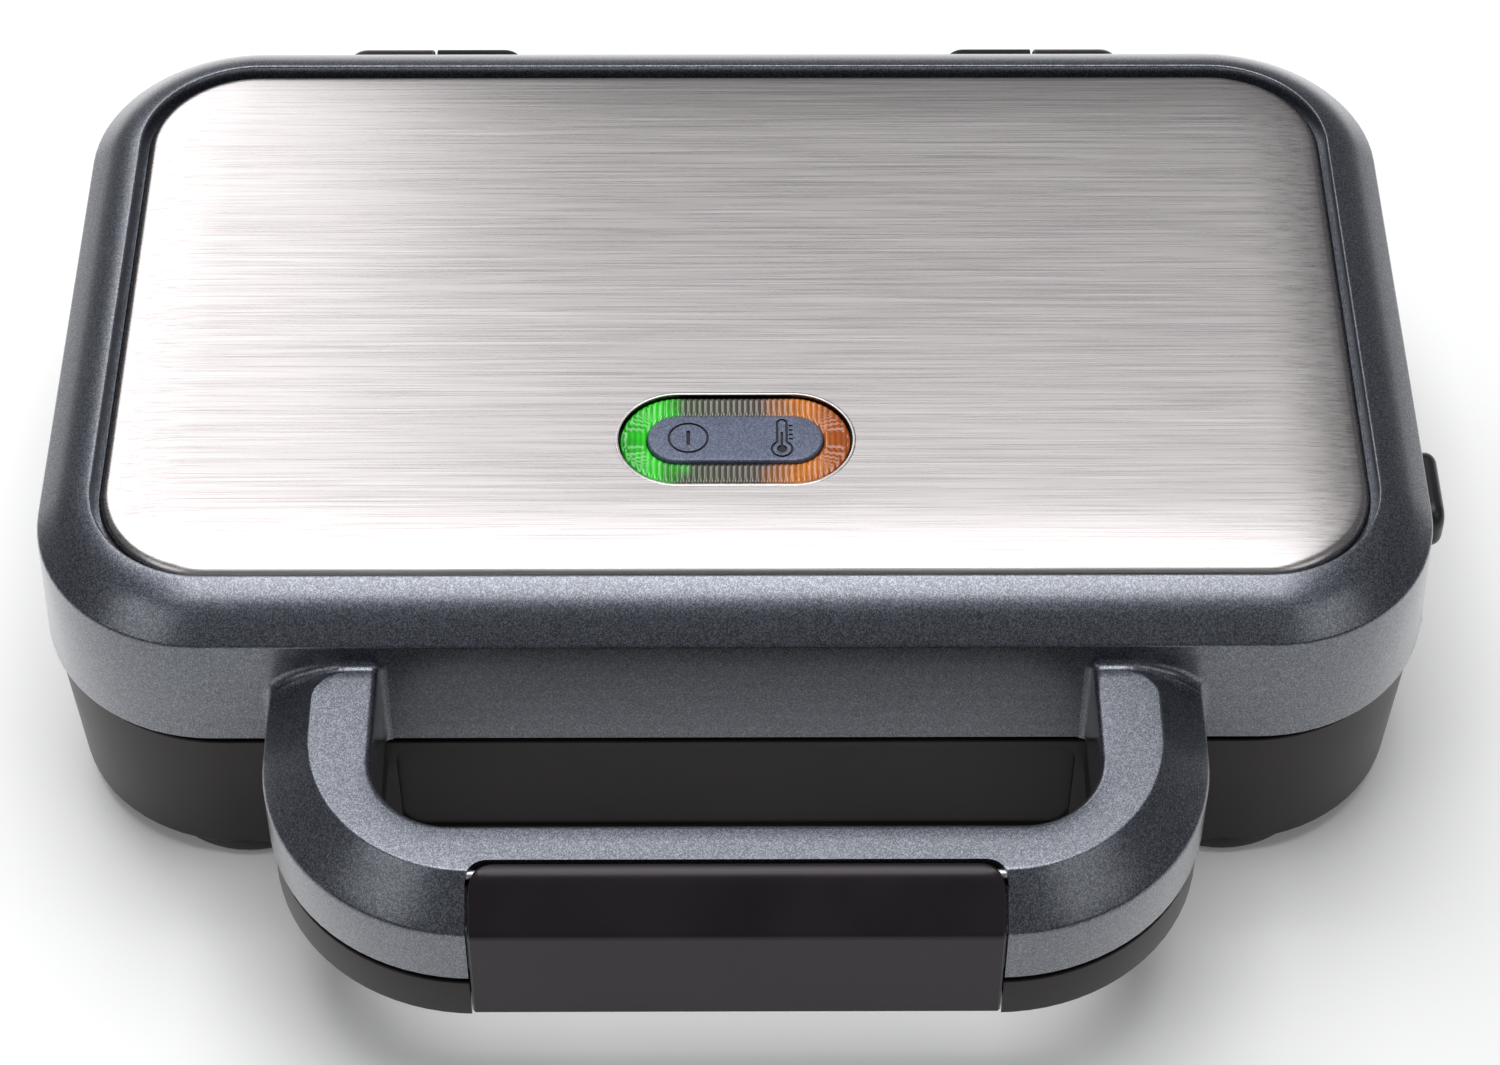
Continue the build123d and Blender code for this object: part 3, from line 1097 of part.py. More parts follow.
with BuildPart() as hinge_pins:
    for side in (-1, 1):
        with BuildSketch(facing_right(side * HINGE_SPACING / 2, HINGE_Y, HINGE_HEIGHT)):
            Circle(HINGE_PIN_RADIUS)
        extrude(amount=HINGE_PIN_LENGTH / 2, both=True)

with BuildPart() as rubber_feet:
    with BuildSketch(level(0)):
        with GridLocations(FOOT_SPAN_X, FOOT_SPAN_Y, 2, 2):
            Circle(RUBBER_RADIUS)
    extrude(amount=FOOT_HEIGHT - FOOT_PAD_HEIGHT + RUBBER_SEAT)

with BuildPart() as cord_gland:
    with BuildSketch(facing_rear(0, GLAND_SEAT_Y, GLAND_Z)):
        Circle(GLAND_FLANGE_RADIUS)
    extrude(amount=GLAND_FLANGE)
    with BuildSketch(facing_rear(0, BASE_REAR_Y - WALL, GLAND_Z)):
        Circle(GLAND_RADIUS)
    extrude(amount=GLAND_SEAT_Y - BASE_REAR_Y + WALL)
    with BuildSketch(facing_rear(0, BASE_REAR_Y - WALL - GLAND_FLANGE, GLAND_Z)):
        Circle(GLAND_FLANGE_RADIUS)
    extrude(amount=GLAND_FLANGE)
    with BuildSketch(facing_front(0, GLAND_SEAT_Y + GLAND_FLANGE, GLAND_Z)):
        Circle(GLAND_HOLE_RADIUS)
    extrude(amount=GLAND_SEAT_Y - BASE_REAR_Y + WALL + 2 * GLAND_FLANGE, mode=Mode.SUBTRACT)

with BuildPart() as terminal_block:
    with BuildSketch(Plane((TERMINAL_X, TERMINAL_Y, FLOOR_Z))):
        Rectangle(TERMINAL_LENGTH, TERMINAL_WIDTH)
    extrude(amount=TERMINAL_HEIGHT)
    with BuildSketch(Plane((TERMINAL_X, TERMINAL_Y, FLOOR_Z + TERMINAL_HEIGHT))):
        with GridLocations(TERMINAL_LENGTH / TERMINAL_POLES, TERMINAL_WIDTH / 2, TERMINAL_POLES, 2):
            Circle(SCREW_RADIUS)
    extrude(amount=-TERMINAL_HEIGHT / 2, mode=Mode.SUBTRACT)

with BuildPart() as thermostat:
    with BuildSketch(LOWER.offset(WELL_BACK + ELEMENT_GAP)):
        Circle(THERMOSTAT_CAP)
    extrude(amount=THERMOSTAT_CAP_HEIGHT)
    with BuildSketch(LOWER.offset(WELL_BACK + ELEMENT_GAP + THERMOSTAT_CAP_HEIGHT)):
        Circle(THERMOSTAT_RADIUS)
    extrude(amount=REFLECTOR_DEPTH - WELL_BACK - ELEMENT_GAP - THERMOSTAT_CAP_HEIGHT)

with BuildPart() as thermal_fuse:
    fuse_z = MID_Z - REFLECTOR_DEPTH - REFLECTOR_SHEET - FUSE_RADIUS
    with BuildSketch(facing_right(FUSE_X, CASING_CENTRE_Y, fuse_z)):
        Circle(FUSE_RADIUS)
    extrude(amount=FUSE_LENGTH / 2, both=True)

# ----------------------------------------------------------------------------
# Write one STEP file for each piece
# ----------------------------------------------------------------------------

PIECES = {
    "lid_casing": lid_casing,
    "top_plate": top_plate,
    "indicator_lens": indicator_lens,
    "indicator_badge": indicator_badge,
    "lamp_board": lamp_board,
    "power_lamp": power_lamp,
    "ready_lamp": ready_lamp,
    "lid_frame": lid_frame,
    "upper_cooking_plate": upper_cooking_plate,
    "upper_reflector": upper_reflector,
    "upper_element": upper_element,
    "upper_element_supports": upper_element_supports,
    "lid_screws": lid_screws,
    "upper_button_spring": upper_button_spring,
    "lid_hinge_brackets": lid_hinge_brackets,
    "latch_pin": latch_pin,
    "latch": latch,
    "upper_release_button": upper_release_button,
    "base_casing": base_casing,
    "base_frame": base_frame,
    "lower_cooking_plate": lower_cooking_plate,
    "lower_reflector": lower_reflector,
    "lower_element": lower_element,
    "lower_element_supports": lower_element_supports,
    "base_screws": base_screws,
    "lower_button_spring": lower_button_spring,
    "lower_release_button": lower_release_button,
    "hinge_pins": hinge_pins,
    "rubber_feet": rubber_feet,
    "cord_gland": cord_gland,
    "terminal_block": terminal_block,
    "thermostat": thermostat,
    "thermal_fuse": thermal_fuse,
}

os.makedirs("parts", exist_ok=True)
for name, piece in PIECES.items():
    piece.part.label = name
    export_step(piece.part, f"parts/{name}.step")
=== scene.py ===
"""Dressed model of a closed two-slice sandwich toaster, with its stage, lights and camera.

Sizes are written in millimetres and turned into metres when a mesh is made; finishes work in metres.
+X is to the toaster's right, +Y to its hinges and +Z is up.
"""

import logging
import math
from dataclasses import dataclass
from enum import Enum
from typing import Sequence

import bmesh
import bpy
from mathutils import Matrix, Vector


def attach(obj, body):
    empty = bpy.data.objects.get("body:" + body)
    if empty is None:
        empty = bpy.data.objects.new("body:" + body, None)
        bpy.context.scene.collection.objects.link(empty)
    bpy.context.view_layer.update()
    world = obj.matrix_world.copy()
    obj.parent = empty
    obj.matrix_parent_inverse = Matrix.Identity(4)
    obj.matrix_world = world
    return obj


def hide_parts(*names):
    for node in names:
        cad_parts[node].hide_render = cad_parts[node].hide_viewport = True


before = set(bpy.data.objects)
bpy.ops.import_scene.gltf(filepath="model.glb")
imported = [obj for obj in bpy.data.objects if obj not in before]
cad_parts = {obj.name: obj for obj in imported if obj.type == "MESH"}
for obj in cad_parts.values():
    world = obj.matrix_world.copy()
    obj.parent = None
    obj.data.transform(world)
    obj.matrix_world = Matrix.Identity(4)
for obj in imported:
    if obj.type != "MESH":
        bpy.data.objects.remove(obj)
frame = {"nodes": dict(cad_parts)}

LOG = logging.getLogger("sandwich_toaster")
MM = 0.001
TINY = 1e-9
WELD = 1e-7
CASING_CENTRE_Y = 23.75
INDICATOR_Y = -13.9
HINGE_AXIS_Z = 58.2
LATCH_BARREL = (-111.8, 63.2)

# Angles in degrees above which an edge stays sharp.
CASING_CREASE = 28.0
SMALL_PART_CREASE = 30.0
FLOOR_CREASE = 32.0
PLATE_CREASE = 40.0
LENS_CREASE = 60.0

Point2 = tuple[float, float]
Point3 = tuple[float, float, float]
Segments = tuple[int, int, int]
Outline = list[Point2]
Loop = list[Point3]
Station = tuple[Vector, Vector, Vector, Vector]
Socket = bpy.types.NodeSocket
Piece = bpy.types.Object


class Body(Enum):
    """The moving bodies that the dressed pieces ride on, as the frame names them."""

    BASE = "base"
    LID = "lid"
    LATCH = "latch"


class Slot(Enum):
    """The record's material slots that the dressed pieces take their finish from."""

    PAINT = "metallic_paint"
    STEEL = "brushed_steel"
    LENS = "clear_lens"
    BADGE = "badge_plastic"
    CASING = "casing_plastic"
    LATCH = "latch_plastic"


class Axis(Enum):
    """The axis that a straight cutter runs along, by its place in a point."""

    X = 0
    Y = 1
    Z = 2


# Finishes


class Recipe:
    """One material's node tree, with short calls for what the finishes share."""

    def __init__(self, name: str) -> None:
        """Starts a material with one principled shader.

        Args:
            name: The material's name.
        """
        self.material = bpy.data.materials.new(name)
        self.material.use_nodes = True
        self.tree = self.material.node_tree
        self.shader = self.tree.nodes["Principled BSDF"]
        self.place = self.tree.nodes.new("ShaderNodeTexCoord").outputs["Object"]

    def put(self, socket: Socket, value: object) -> None:
        """Links an input to an output, or sets it to a plain value.

        Args:
            socket: The input.
            value: An output, a number or a tuple.
        """
        if isinstance(value, bpy.types.NodeSocket):
            self.tree.links.new(value, socket)
        else:
            socket.default_value = value

    def node(self, kind: str, output: str, inputs: dict[str | int, object], **settings: object) -> Socket:
        """Adds a node.

        Args:
            kind: Blender's name for the node.
            output: The output that is wanted of it.
            inputs: What each input takes, by name or number.
            settings: Properties to set on the node first.

        Returns:
            The output.
        """
        made = self.tree.nodes.new(kind)
        for key, value in settings.items():
            setattr(made, key, value)
        for key, value in inputs.items():
            self.put(made.inputs[key], value)
        return made.outputs[output]

    def shade(self, **values: object) -> None:
        """Feeds the shader; an underscore stands for a space in a socket's name."""
        for key, value in values.items():
            self.put(self.shader.inputs[key.replace("_", " ")], value)

    def noise(self, scale: float, detail: float, stretch: Point3 = (1.0, 1.0, 1.0)) -> Socket:
        """Fractal noise in object space, with a scale in cells to the metre and a detail in octaves."""
        place = self.node("ShaderNodeMapping", "Vector", {"Vector": self.place, "Scale": stretch})
        return self.node("ShaderNodeTexNoise", "Fac", {"Vector": place, "Scale": scale, "Detail": detail})

    def grains(self, scale: float) -> Socket:
        """A random grey for each small cell, as metal flakes and cast grains have."""
        cells = self.node("ShaderNodeTexVoronoi", "Color", {"Vector": self.place, "Scale": scale})
        return self.node("ShaderNodeRGBToBW", "Val", {"Color": cells})

    def ramp(self, factor: Socket, *stops: tuple[float, Sequence[float]]) -> Socket:
        """A colour ramp.

        Args:
            factor: What drives it.
            stops: Position and colour of each stop, from low to high.

        Returns:
            The ramp's colour.
        """
        band = self.tree.nodes.new("ShaderNodeValToRGB")
        elements = band.color_ramp.elements
        while len(elements) < len(stops):
            elements.new(0.5)
        for element, (position, colour) in zip(elements, stops):
            element.position = position
            element.color = (*colour, 1.0)
        self.put(band.inputs["Fac"], factor)
        return band.outputs["Color"]

    def range(self, factor: Socket, low: float, high: float, start: float = 0.0, end: float = 1.0) -> Socket:
        """Maps one range of numbers onto another, held at its ends.

        Args:
            factor: What drives it.
            low: Result at the start.
            high: Result at the end.
            start: Where the factor's range starts.
            end: Where it ends.

        Returns:
            The mapped number.
        """
        spans = {"From Min": start, "From Max": end, "To Min": low, "To Max": high}
        return self.node("ShaderNodeMapRange", "Result", {"Value": factor, **spans})

    def bump(self, height: Socket, strength: float, depth: float) -> None:
        """Roughens the surface by a height, with a strength from 0 to 1 and a depth in metres."""
        relief = {"Height": height, "Strength": strength, "Distance": depth}
        self.shade(Normal=self.node("ShaderNodeBump", "Normal", relief))


@dataclass(frozen=True)
class Finish:
    """What every finish has: a name and one material of that name."""

    name: str

    def build(self) -> bpy.types.Material:
        """Makes the material.

        Returns:
            The material.
        """
        recipe = Recipe(self.name)
        self.mix(recipe)
        return recipe.material

    def mix(self, recipe: Recipe) -> None:
        """Adds the finish's own nodes to a recipe."""
        raise NotImplementedError


@dataclass(frozen=True)
class MetallicPaint(Finish):
    """Slate metallic paint, its fine flakes of uneven brightness under a clear satin coat."""

    name: str = "metallic_paint"
    dull: Point3 = (0.033, 0.037, 0.049)
    middle: Point3 = (0.063, 0.071, 0.093)
    bright: Point3 = (0.178, 0.192, 0.232)
    flakes_in_a_metre: float = 5200.0
    flake_stops: Point3 = (0.20, 0.50, 0.80)
    flake_relief: Point2 = (0.14, 0.00004)
    cloud: float = 70.0
    metallic: float = 0.85
    gloss: float = 0.34
    gloss_drift: float = 0.03
    coat: float = 1.0

    def mix(self, recipe: Recipe) -> None:
        """Adds the flakes, a slow drift of the gloss and the coat.

        Args:
            recipe: The material in the making.
        """
        flakes = recipe.grains(self.flakes_in_a_metre)
        colours = zip(self.flake_stops, (self.dull, self.middle, self.bright))
        cloud = recipe.noise(self.cloud, 3.0)
        recipe.shade(
            Base_Color=recipe.ramp(flakes, *colours),
            Roughness=recipe.range(cloud, self.gloss - self.gloss_drift, self.gloss + self.gloss_drift),
            Metallic=self.metallic,
            Coat_Weight=self.coat,
            Coat_Roughness=0.24,
            Coat_IOR=1.6,
        )
        recipe.bump(flakes, *self.flake_relief)


@dataclass(frozen=True)
class BrushedSteel(Finish):
    """Stainless sheet with brush lines along X."""

    name: str = "brushed_steel"
    dark: Point3 = (0.365, 0.343, 0.343)
    light: Point3 = (0.575, 0.545, 0.545)
    fine_lines: Point3 = (34.0, 3800.0, 3800.0)
    coarse_lines: Point3 = (13.0, 1700.0, 1700.0)
    coarse_share: float = 0.35
    gloss_span: Point2 = (0.22, 0.34)

    def mix(self, recipe: Recipe) -> None:
        """Adds the brush lines and stretches the highlights across them.

        Args:
            recipe: The material in the making.
        """
        fine = recipe.noise(1.0, 3.0, self.fine_lines)
        coarse = recipe.noise(1.0, 2.0, self.coarse_lines)
        blend = {"Factor": self.coarse_share, "A": fine, "B": coarse}
        brush = recipe.node("ShaderNodeMix", "Result", blend, data_type="FLOAT")
        recipe.shade(
            Base_Color=recipe.ramp(brush, (0.30, self.dark), (0.70, self.light)),
            Roughness=recipe.range(brush, *self.gloss_span),
            Metallic=1.0,
            Anisotropic=0.65,
            Tangent=recipe.node("ShaderNodeCombineXYZ", "Vector", {"Y": 1.0}),
        )
        recipe.bump(brush, 0.16, 0.00004)


@dataclass(frozen=True)
class SatinPlastic(Finish):
    """Moulded plastic with a fine spark-eroded grain."""

    low: Point3
    high: Point3
    gloss: float = 0.42
    grain: float = 2600.0
    relief: float = 0.16
    coat: float = 0.0
    shine: float = 0.32
    warmth: Point3 = (1.0, 1.0, 1.0)
    cloud: float = 55.0
    gloss_drift: Point2 = (-0.04, 0.05)

    def mix(self, recipe: Recipe) -> None:
        """Adds the grain and a slow drift of colour and gloss.

        Args:
            recipe: The material in the making.
        """
        grain = recipe.noise(self.grain, 2.0)
        cloud = recipe.noise(self.cloud, 3.0)
        recipe.shade(
            Base_Color=recipe.ramp(cloud, (0.35, self.low), (0.65, self.high)),
            Roughness=recipe.range(cloud, *(self.gloss + drift for drift in self.gloss_drift)),
            Coat_Weight=self.coat,
            Coat_Roughness=0.2,
            Specular_IOR_Level=self.shine,
            Specular_Tint=(*self.warmth, 1.0),
        )
        recipe.bump(grain, self.relief, 0.00005)


@dataclass(frozen=True)
class RibbedLens(Finish):
    """Clear ribbed plastic lit green at its left end and amber at its right; the glow on its rib crests is a
    painted highlight and the dark at its sunk edges is painted shade.
    """

    name: str = "clear_lens"
    half_length: float = 0.0237
    rib_pitch: float = 0.001155
    # Heights over which the painted shade at the sunk edges fades out.
    edge_shade_span: Point2 = (0.0761, 0.0765)
    drift: float = 0.16
    drift_scale: float = 260.0
    ripple_scale: float = 420.0
    # Strength of the painted rib highlight from crest to trough, and the colour of the painted shade at the
    # sunk edges.
    rib_highlight_span: Point2 = (0.80, 0.03)
    painted_edge_shade: Point3 = (0.003, 0.003, 0.003)
    colours: tuple[tuple[float, Point3], ...] = (
        (0.06, (0.005, 0.17, 0.005)),
        (0.24, (0.022, 0.44, 0.014)),
        (0.38, (0.044, 0.058, 0.032)),
        (0.68, (0.062, 0.046, 0.038)),
        (0.86, (0.42, 0.135, 0.016)),
        (1.02, (0.24, 0.055, 0.009)),
    )

    def mix(self, recipe: Recipe) -> None:
        """Adds the colours along X, a painted highlight that glows on the rib crests and painted shade that
        darkens the sunk edges.

        Args:
            recipe: The material in the making.
        """
        split = recipe.tree.nodes.new("ShaderNodeSeparateXYZ")
        recipe.put(split.inputs["Vector"], recipe.place)
        x, z = split.outputs["X"], split.outputs["Z"]
        along = recipe.range(x, 0.0, 1.0, -self.half_length, self.half_length)
        terms = {0: recipe.noise(self.drift_scale, 1.0), 1: self.drift, 2: along}
        drifted = recipe.node("ShaderNodeMath", "Value", terms, operation="MULTIPLY_ADD")
        colour = recipe.ramp(drifted, *self.colours)
        half_pitch = self.rib_pitch / 2
        # Emission on each rib crest, fading towards the troughs: a painted highlight on the ribs.
        rib = recipe.node("ShaderNodeMath", "Value", {0: x, 1: half_pitch}, operation="PINGPONG")
        crest = recipe.range(rib, *self.rib_highlight_span, 0.0, half_pitch)
        # Dark towards the foot of the lens: painted shade on the sunk edges, which also fades the crest
        # highlight there.
        edge = recipe.range(z, 0.0, 1.0, *self.edge_shade_span)
        body = {"Factor": edge, "A": (*self.painted_edge_shade, 1.0), "B": colour}
        glow = recipe.node("ShaderNodeMath", "Value", {0: crest, 1: edge}, operation="MULTIPLY")
        recipe.shade(
            Base_Color=recipe.node("ShaderNodeMix", "Result", body, data_type="RGBA"),
            Emission_Color=colour,
            Emission_Strength=glow,
            Roughness=0.14,
            Coat_Weight=0.6,
            Coat_Roughness=0.05,
        )
        recipe.bump(recipe.noise(self.ripple_scale, 2.0), 0.2, 0.0002)


@dataclass(frozen=True)
class CoatedCasting(Finish):
    """Cast aluminium under a black non-stick coating with faint speckles."""

    name: str = "nonstick_coating"
    coating: Point3 = (0.012, 0.012, 0.013)
    speckle: Point3 = (0.07, 0.07, 0.072)
    speckle_stops: Point2 = (0.80, 0.94)
    grains_in_a_metre: float = 900.0
    gloss_span: Point2 = (0.28, 0.42)

    def mix(self, recipe: Recipe) -> None:
        """Adds the speckles and the orange peel of the coating.

        Args:
            recipe: The material in the making.
        """
        orange_peel = recipe.noise(self.grains_in_a_metre, 2.0)
        colours = zip(self.speckle_stops, (self.coating, self.speckle))
        recipe.shade(
            Base_Color=recipe.ramp(recipe.grains(self.grains_in_a_metre), *colours),
            Roughness=recipe.range(orange_peel, *self.gloss_span),
            Metallic=0.15,
            Coat_Weight=0.3,
            Coat_Roughness=0.25,
        )
        recipe.bump(orange_peel, 0.20, 0.0001)


@dataclass(frozen=True)
class BareMetal(Finish):
    """Plain metal of the inner parts, with faint rolling marks and tarnish."""

    low: Point3
    high: Point3
    gloss: float = 0.38
    gloss_drift: Point2 = (-0.08, 0.10)
    tarnish: float = 120.0
    rolling: Point3 = (60.0, 1500.0, 1500.0)

    def mix(self, recipe: Recipe) -> None:
        """Adds the tarnish and the rolling marks.

        Args:
            recipe: The material in the making.
        """
        tarnish = recipe.noise(self.tarnish, 4.0)
        marks = recipe.noise(1.0, 3.0, self.rolling)
        recipe.shade(
            Base_Color=recipe.ramp(tarnish, (0.3, self.low), (0.7, self.high)),
            Roughness=recipe.range(marks, *(self.gloss + drift for drift in self.gloss_drift)),
            Metallic=1.0,
        )
        recipe.bump(marks, 0.15, 0.00003)


@dataclass(frozen=True)
class LitLamp(Finish):
    """Round-topped lamp of tinted resin."""

    tint: Point3
    shade_share: float = 0.55
    cloud: float = 900.0

    def mix(self, recipe: Recipe) -> None:
        """Adds the tint, which also glows.

        Args:
            recipe: The material in the making.
        """
        dark = tuple(self.shade_share * part for part in self.tint)
        colour = recipe.ramp(recipe.noise(self.cloud, 2.0), (0.3, dark), (0.7, self.tint))
        recipe.shade(Base_Color=colour, Emission_Color=colour)
        recipe.shade(Roughness=0.12, Emission_Strength=0.8, Coat_Weight=0.5)


@dataclass(frozen=True)
class PaleSweep(Finish):
    """Pale, evenly lit sweep that the toaster stands on."""

    name: str = "pale_sweep"
    pale: Point3 = (0.93, 0.93, 0.93)
    white: Point3 = (1.0, 1.0, 1.0)

    def mix(self, recipe: Recipe) -> None:
        """Sets the pale colour and a faint glow."""
        recipe.shade(Base_Color=(*self.pale, 1.0), Roughness=0.9)
        recipe.shade(Emission_Color=(*self.white, 1.0), Emission_Strength=0.07)


BADGE_PAINT = MetallicPaint(
    Slot.BADGE.value,
    dull=(0.045, 0.056, 0.096),
    middle=(0.085, 0.103, 0.165),
    bright=(0.150, 0.172, 0.250),
    metallic=0.3,
    gloss=0.45,
    coat=0.2,
)
CASING_PLASTIC = SatinPlastic(
    Slot.CASING.value,
    low=(0.0115, 0.0102, 0.0100),
    high=(0.0150, 0.0133, 0.0130),
    gloss=0.36,
    relief=0.12,
    shine=0.28,
    warmth=(1.0, 0.92, 0.90),
)
LATCH_PLASTIC = SatinPlastic(
    Slot.LATCH.value,
    low=(0.011, 0.0090, 0.0112),
    high=(0.015, 0.0122, 0.0152),
    gloss=0.30,
    grain=2400.0,
    relief=0.12,
    coat=0.06,
    shine=0.28,
    warmth=(1.0, 0.90, 1.0),
)


class FinishBook:
    """Every finish of the toaster, made once and handed out by name."""

    def __init__(self) -> None:
        """Makes all the materials."""
        finishes: list[Finish] = [
            MetallicPaint(),
            BrushedSteel(),
            RibbedLens(),
            CoatedCasting(),
            PaleSweep(),
            BADGE_PAINT,
            CASING_PLASTIC,
            LATCH_PLASTIC,
            SatinPlastic("button_plastic", (0.014, 0.014, 0.016), (0.019, 0.019, 0.021), 0.30),
            SatinPlastic("hinge_plastic", (0.009, 0.009, 0.010), (0.013, 0.013, 0.014), 0.55, shine=0.10),
            SatinPlastic("frame_plastic", (0.012, 0.012, 0.012), (0.018, 0.018, 0.018), 0.50, 1900.0, 0.25),
            SatinPlastic("foot_rubber", (0.014, 0.014, 0.014), (0.022, 0.022, 0.022), 0.75, 1500.0, 0.4),
            SatinPlastic("circuit_board", (0.012, 0.075, 0.030), (0.02, 0.11, 0.045), 0.40, 1200.0, 0.2),
            SatinPlastic("ceramic_body", (0.62, 0.60, 0.55), (0.72, 0.70, 0.66), 0.45, 900.0, 0.2),
            # Dark finish of the badge's sunk strokes: painted shade in the grooves.
            SatinPlastic("icon_groove", (0.006, 0.007, 0.010), (0.010, 0.011, 0.015), 0.45),
            BareMetal("plated_steel", (0.50, 0.50, 0.52), (0.66, 0.66, 0.68)),
            BareMetal("aluminised_sheet", (0.58, 0.58, 0.60), (0.74, 0.74, 0.75), 0.32),
            BareMetal("element_sheath", (0.17, 0.15, 0.14), (0.30, 0.27, 0.25), 0.45),
            LitLamp("green_lamp", (0.05, 0.85, 0.12)),
            LitLamp("amber_lamp", (1.0, 0.42, 0.04)),
        ]
        self.materials = {finish.name: finish.build() for finish in finishes}

    def dress(self, piece: Piece, name: str) -> None:
        """Gives a piece one finish all over.

        Args:
            piece: The object to dress.
            name: The finish.
        """
        if not piece.material_slots:
            piece.data.materials.append(self.materials[name])
        for slot in piece.material_slots:
            slot.material = self.materials[name]


# Outlines


def arc(centre: Point2, radius: float, start: float, sweep: float, steps: int) -> Outline:
    """Points of an arc from end to end; angles are in degrees, and a negative sweep is clockwise."""
    turns = [math.radians(start + sweep * step / steps) for step in range(steps + 1)]
    return [(centre[0] + radius * math.cos(turn), centre[1] + radius * math.sin(turn)) for turn in turns]


def circle(centre: Point2, radius: float, count: int) -> Outline:
    """Points of a circle, anticlockwise."""
    return arc(centre, radius, 0.0, 360.0, count)[:-1]


def filleted(points: Sequence[Point2], radii: Sequence[float], steps: int) -> Outline:
    """Rounds the corners of an open run of points.

    Args:
        points: The corners, from end to end.
        radii: One radius for each corner; 0 keeps it sharp.
        steps: Segments in each arc.

    Returns:
        The rounded run.
    """
    run: Outline = []
    for index, (corner, radius) in enumerate(zip(points, radii)):
        if radius <= 0.0 or index in (0, len(points) - 1):
            run.append(corner)
            continue
        here = Vector(corner)
        back = (Vector(points[index - 1]) - here).normalized()
        ahead = (Vector(points[index + 1]) - here).normalized()
        half_turn = (math.pi - back.angle(ahead)) / 2
        reach = radius * math.tan(half_turn)
        middle = here + (back + ahead).normalized() * radius / math.cos(half_turn)
        spoke = here + back * reach - middle
        sweep = spoke.angle_signed(here + ahead * reach - middle)
        for step in range(steps + 1):
            run.append(tuple(middle + Matrix.Rotation(-sweep * step / steps, 2) @ spoke))
    return run


def rounded_rectangle(
    half_width: float, half_depth: float, radius: float, corner: int, across: int, along: int
) -> Outline:
    """Outline of a rounded rectangle round the origin, from the right side's front end.

    Args:
        half_width: Half its size in X.
        half_depth: Half its size in Y.
        radius: Corner radius.
        corner: Segments in each corner.
        across: Segments in each side that runs in X.
        along: Segments in each side that runs in Y.

    Returns:
        The points, anticlockwise.
    """
    flat_x, flat_y = half_width - radius, half_depth - radius
    centres = ((flat_x, flat_y), (-flat_x, flat_y), (-flat_x, -flat_y), (flat_x, -flat_y))
    corners = [arc(centre, radius, 90.0 * quarter, 90.0, corner) for quarter, centre in enumerate(centres)]
    outline: Outline = []
    for quarter, turn in enumerate(corners):
        (x0, y0), (x1, y1) = corners[quarter - 1][-1], turn[0]
        segments = across if quarter % 2 else along
        for share in (step / segments for step in range(segments)):
            outline.append((x0 + (x1 - x0) * share, y0 + (y1 - y0) * share))
        outline += turn[:-1]
    return outline


def stadium(length: float, height: float, corner: int = 40, straight: int = 60) -> Outline:
    """Outline of a slot with round ends, anticlockwise round the origin."""
    return rounded_rectangle(length / 2, height / 2, height / 2, corner, straight, 1)


def level(outline: Sequence[Point2], z: float, middle_y: float = CASING_CENTRE_Y) -> Loop:
    """An outline laid flat at a height, with its origin at a place in Y."""
    return [(x, y + middle_y, z) for x, y in outline]


def grown(outline: Sequence[Point2], reach: float) -> Outline:
    """Moves each point of a closed outline sideways, to the left of its run.

    Args:
        outline: The points.
        reach: How far they move.

    Returns:
        The moved points.
    """
    moved: Outline = []
    for index, (u, v) in enumerate(outline):
        before, after = outline[index - 1], outline[(index + 1) % len(outline)]
        run = Vector((after[0] - before[0], after[1] - before[1]))
        side = Vector((-run.y, run.x)).normalized() if run.length > TINY else Vector((0.0, 0.0))
        moved.append((u + side.x * reach, v + side.y * reach))
    return moved


def height_at(run: Sequence[Point2], y: float, beyond: float) -> float:
    """Height of a run of points in Y and Z.

    Args:
        run: The points.
        y: The place in Y.
        beyond: The height where the run doesn't reach.

    Returns:
        The height there.
    """
    for (y0, z0), (y1, z1) in zip(run, run[1:]):
        if min(y0, y1) <= y <= max(y0, y1) and abs(y1 - y0) > TINY:
            return z0 + (z1 - z0) * (y - y0) / (y1 - y0)
    return beyond


def rear_edge(x: float, half_width: float, rear_y: float, corner: float) -> float:
    """The place in Y of a plan's rear edge, whose two corners are round."""
    over = max(0.0, abs(x) - (half_width - corner))
    return rear_y - (corner - math.sqrt(max(corner**2 - over**2, 0.0)))


def both_sides(half: Sequence[Loop], middle: Loop) -> list[Loop]:
    """The loops of one side, the middle loop and the side's mirror image."""
    return [*half, middle, *([(-x, y, z) for x, y, z in loop] for loop in reversed(half))]


# Mesh making


def meshed(name: str, points: Sequence[Point3], faces: Sequence[Sequence[int]], crease: float) -> Piece:
    """Makes an object of points and faces, with doubled points welded and all faces turned outwards.

    Args:
        name: Name of the object.
        points: The points in millimetres.
        faces: Point numbers of each face.
        crease: Angle in degrees above which edges stay sharp.

    Returns:
        The new object, linked to the scene.
    """
    mesh = bpy.data.meshes.new(name)
    mesh.from_pydata([(x * MM, y * MM, z * MM) for x, y, z in points], [], faces)
    tidy = bmesh.new()
    tidy.from_mesh(mesh)
    bmesh.ops.remove_doubles(tidy, verts=tidy.verts, dist=WELD)
    bmesh.ops.dissolve_degenerate(tidy, edges=tidy.edges, dist=WELD)
    bmesh.ops.recalc_face_normals(tidy, faces=tidy.faces)
    tidy.to_mesh(mesh)
    tidy.free()
    return placed(name, mesh, crease)


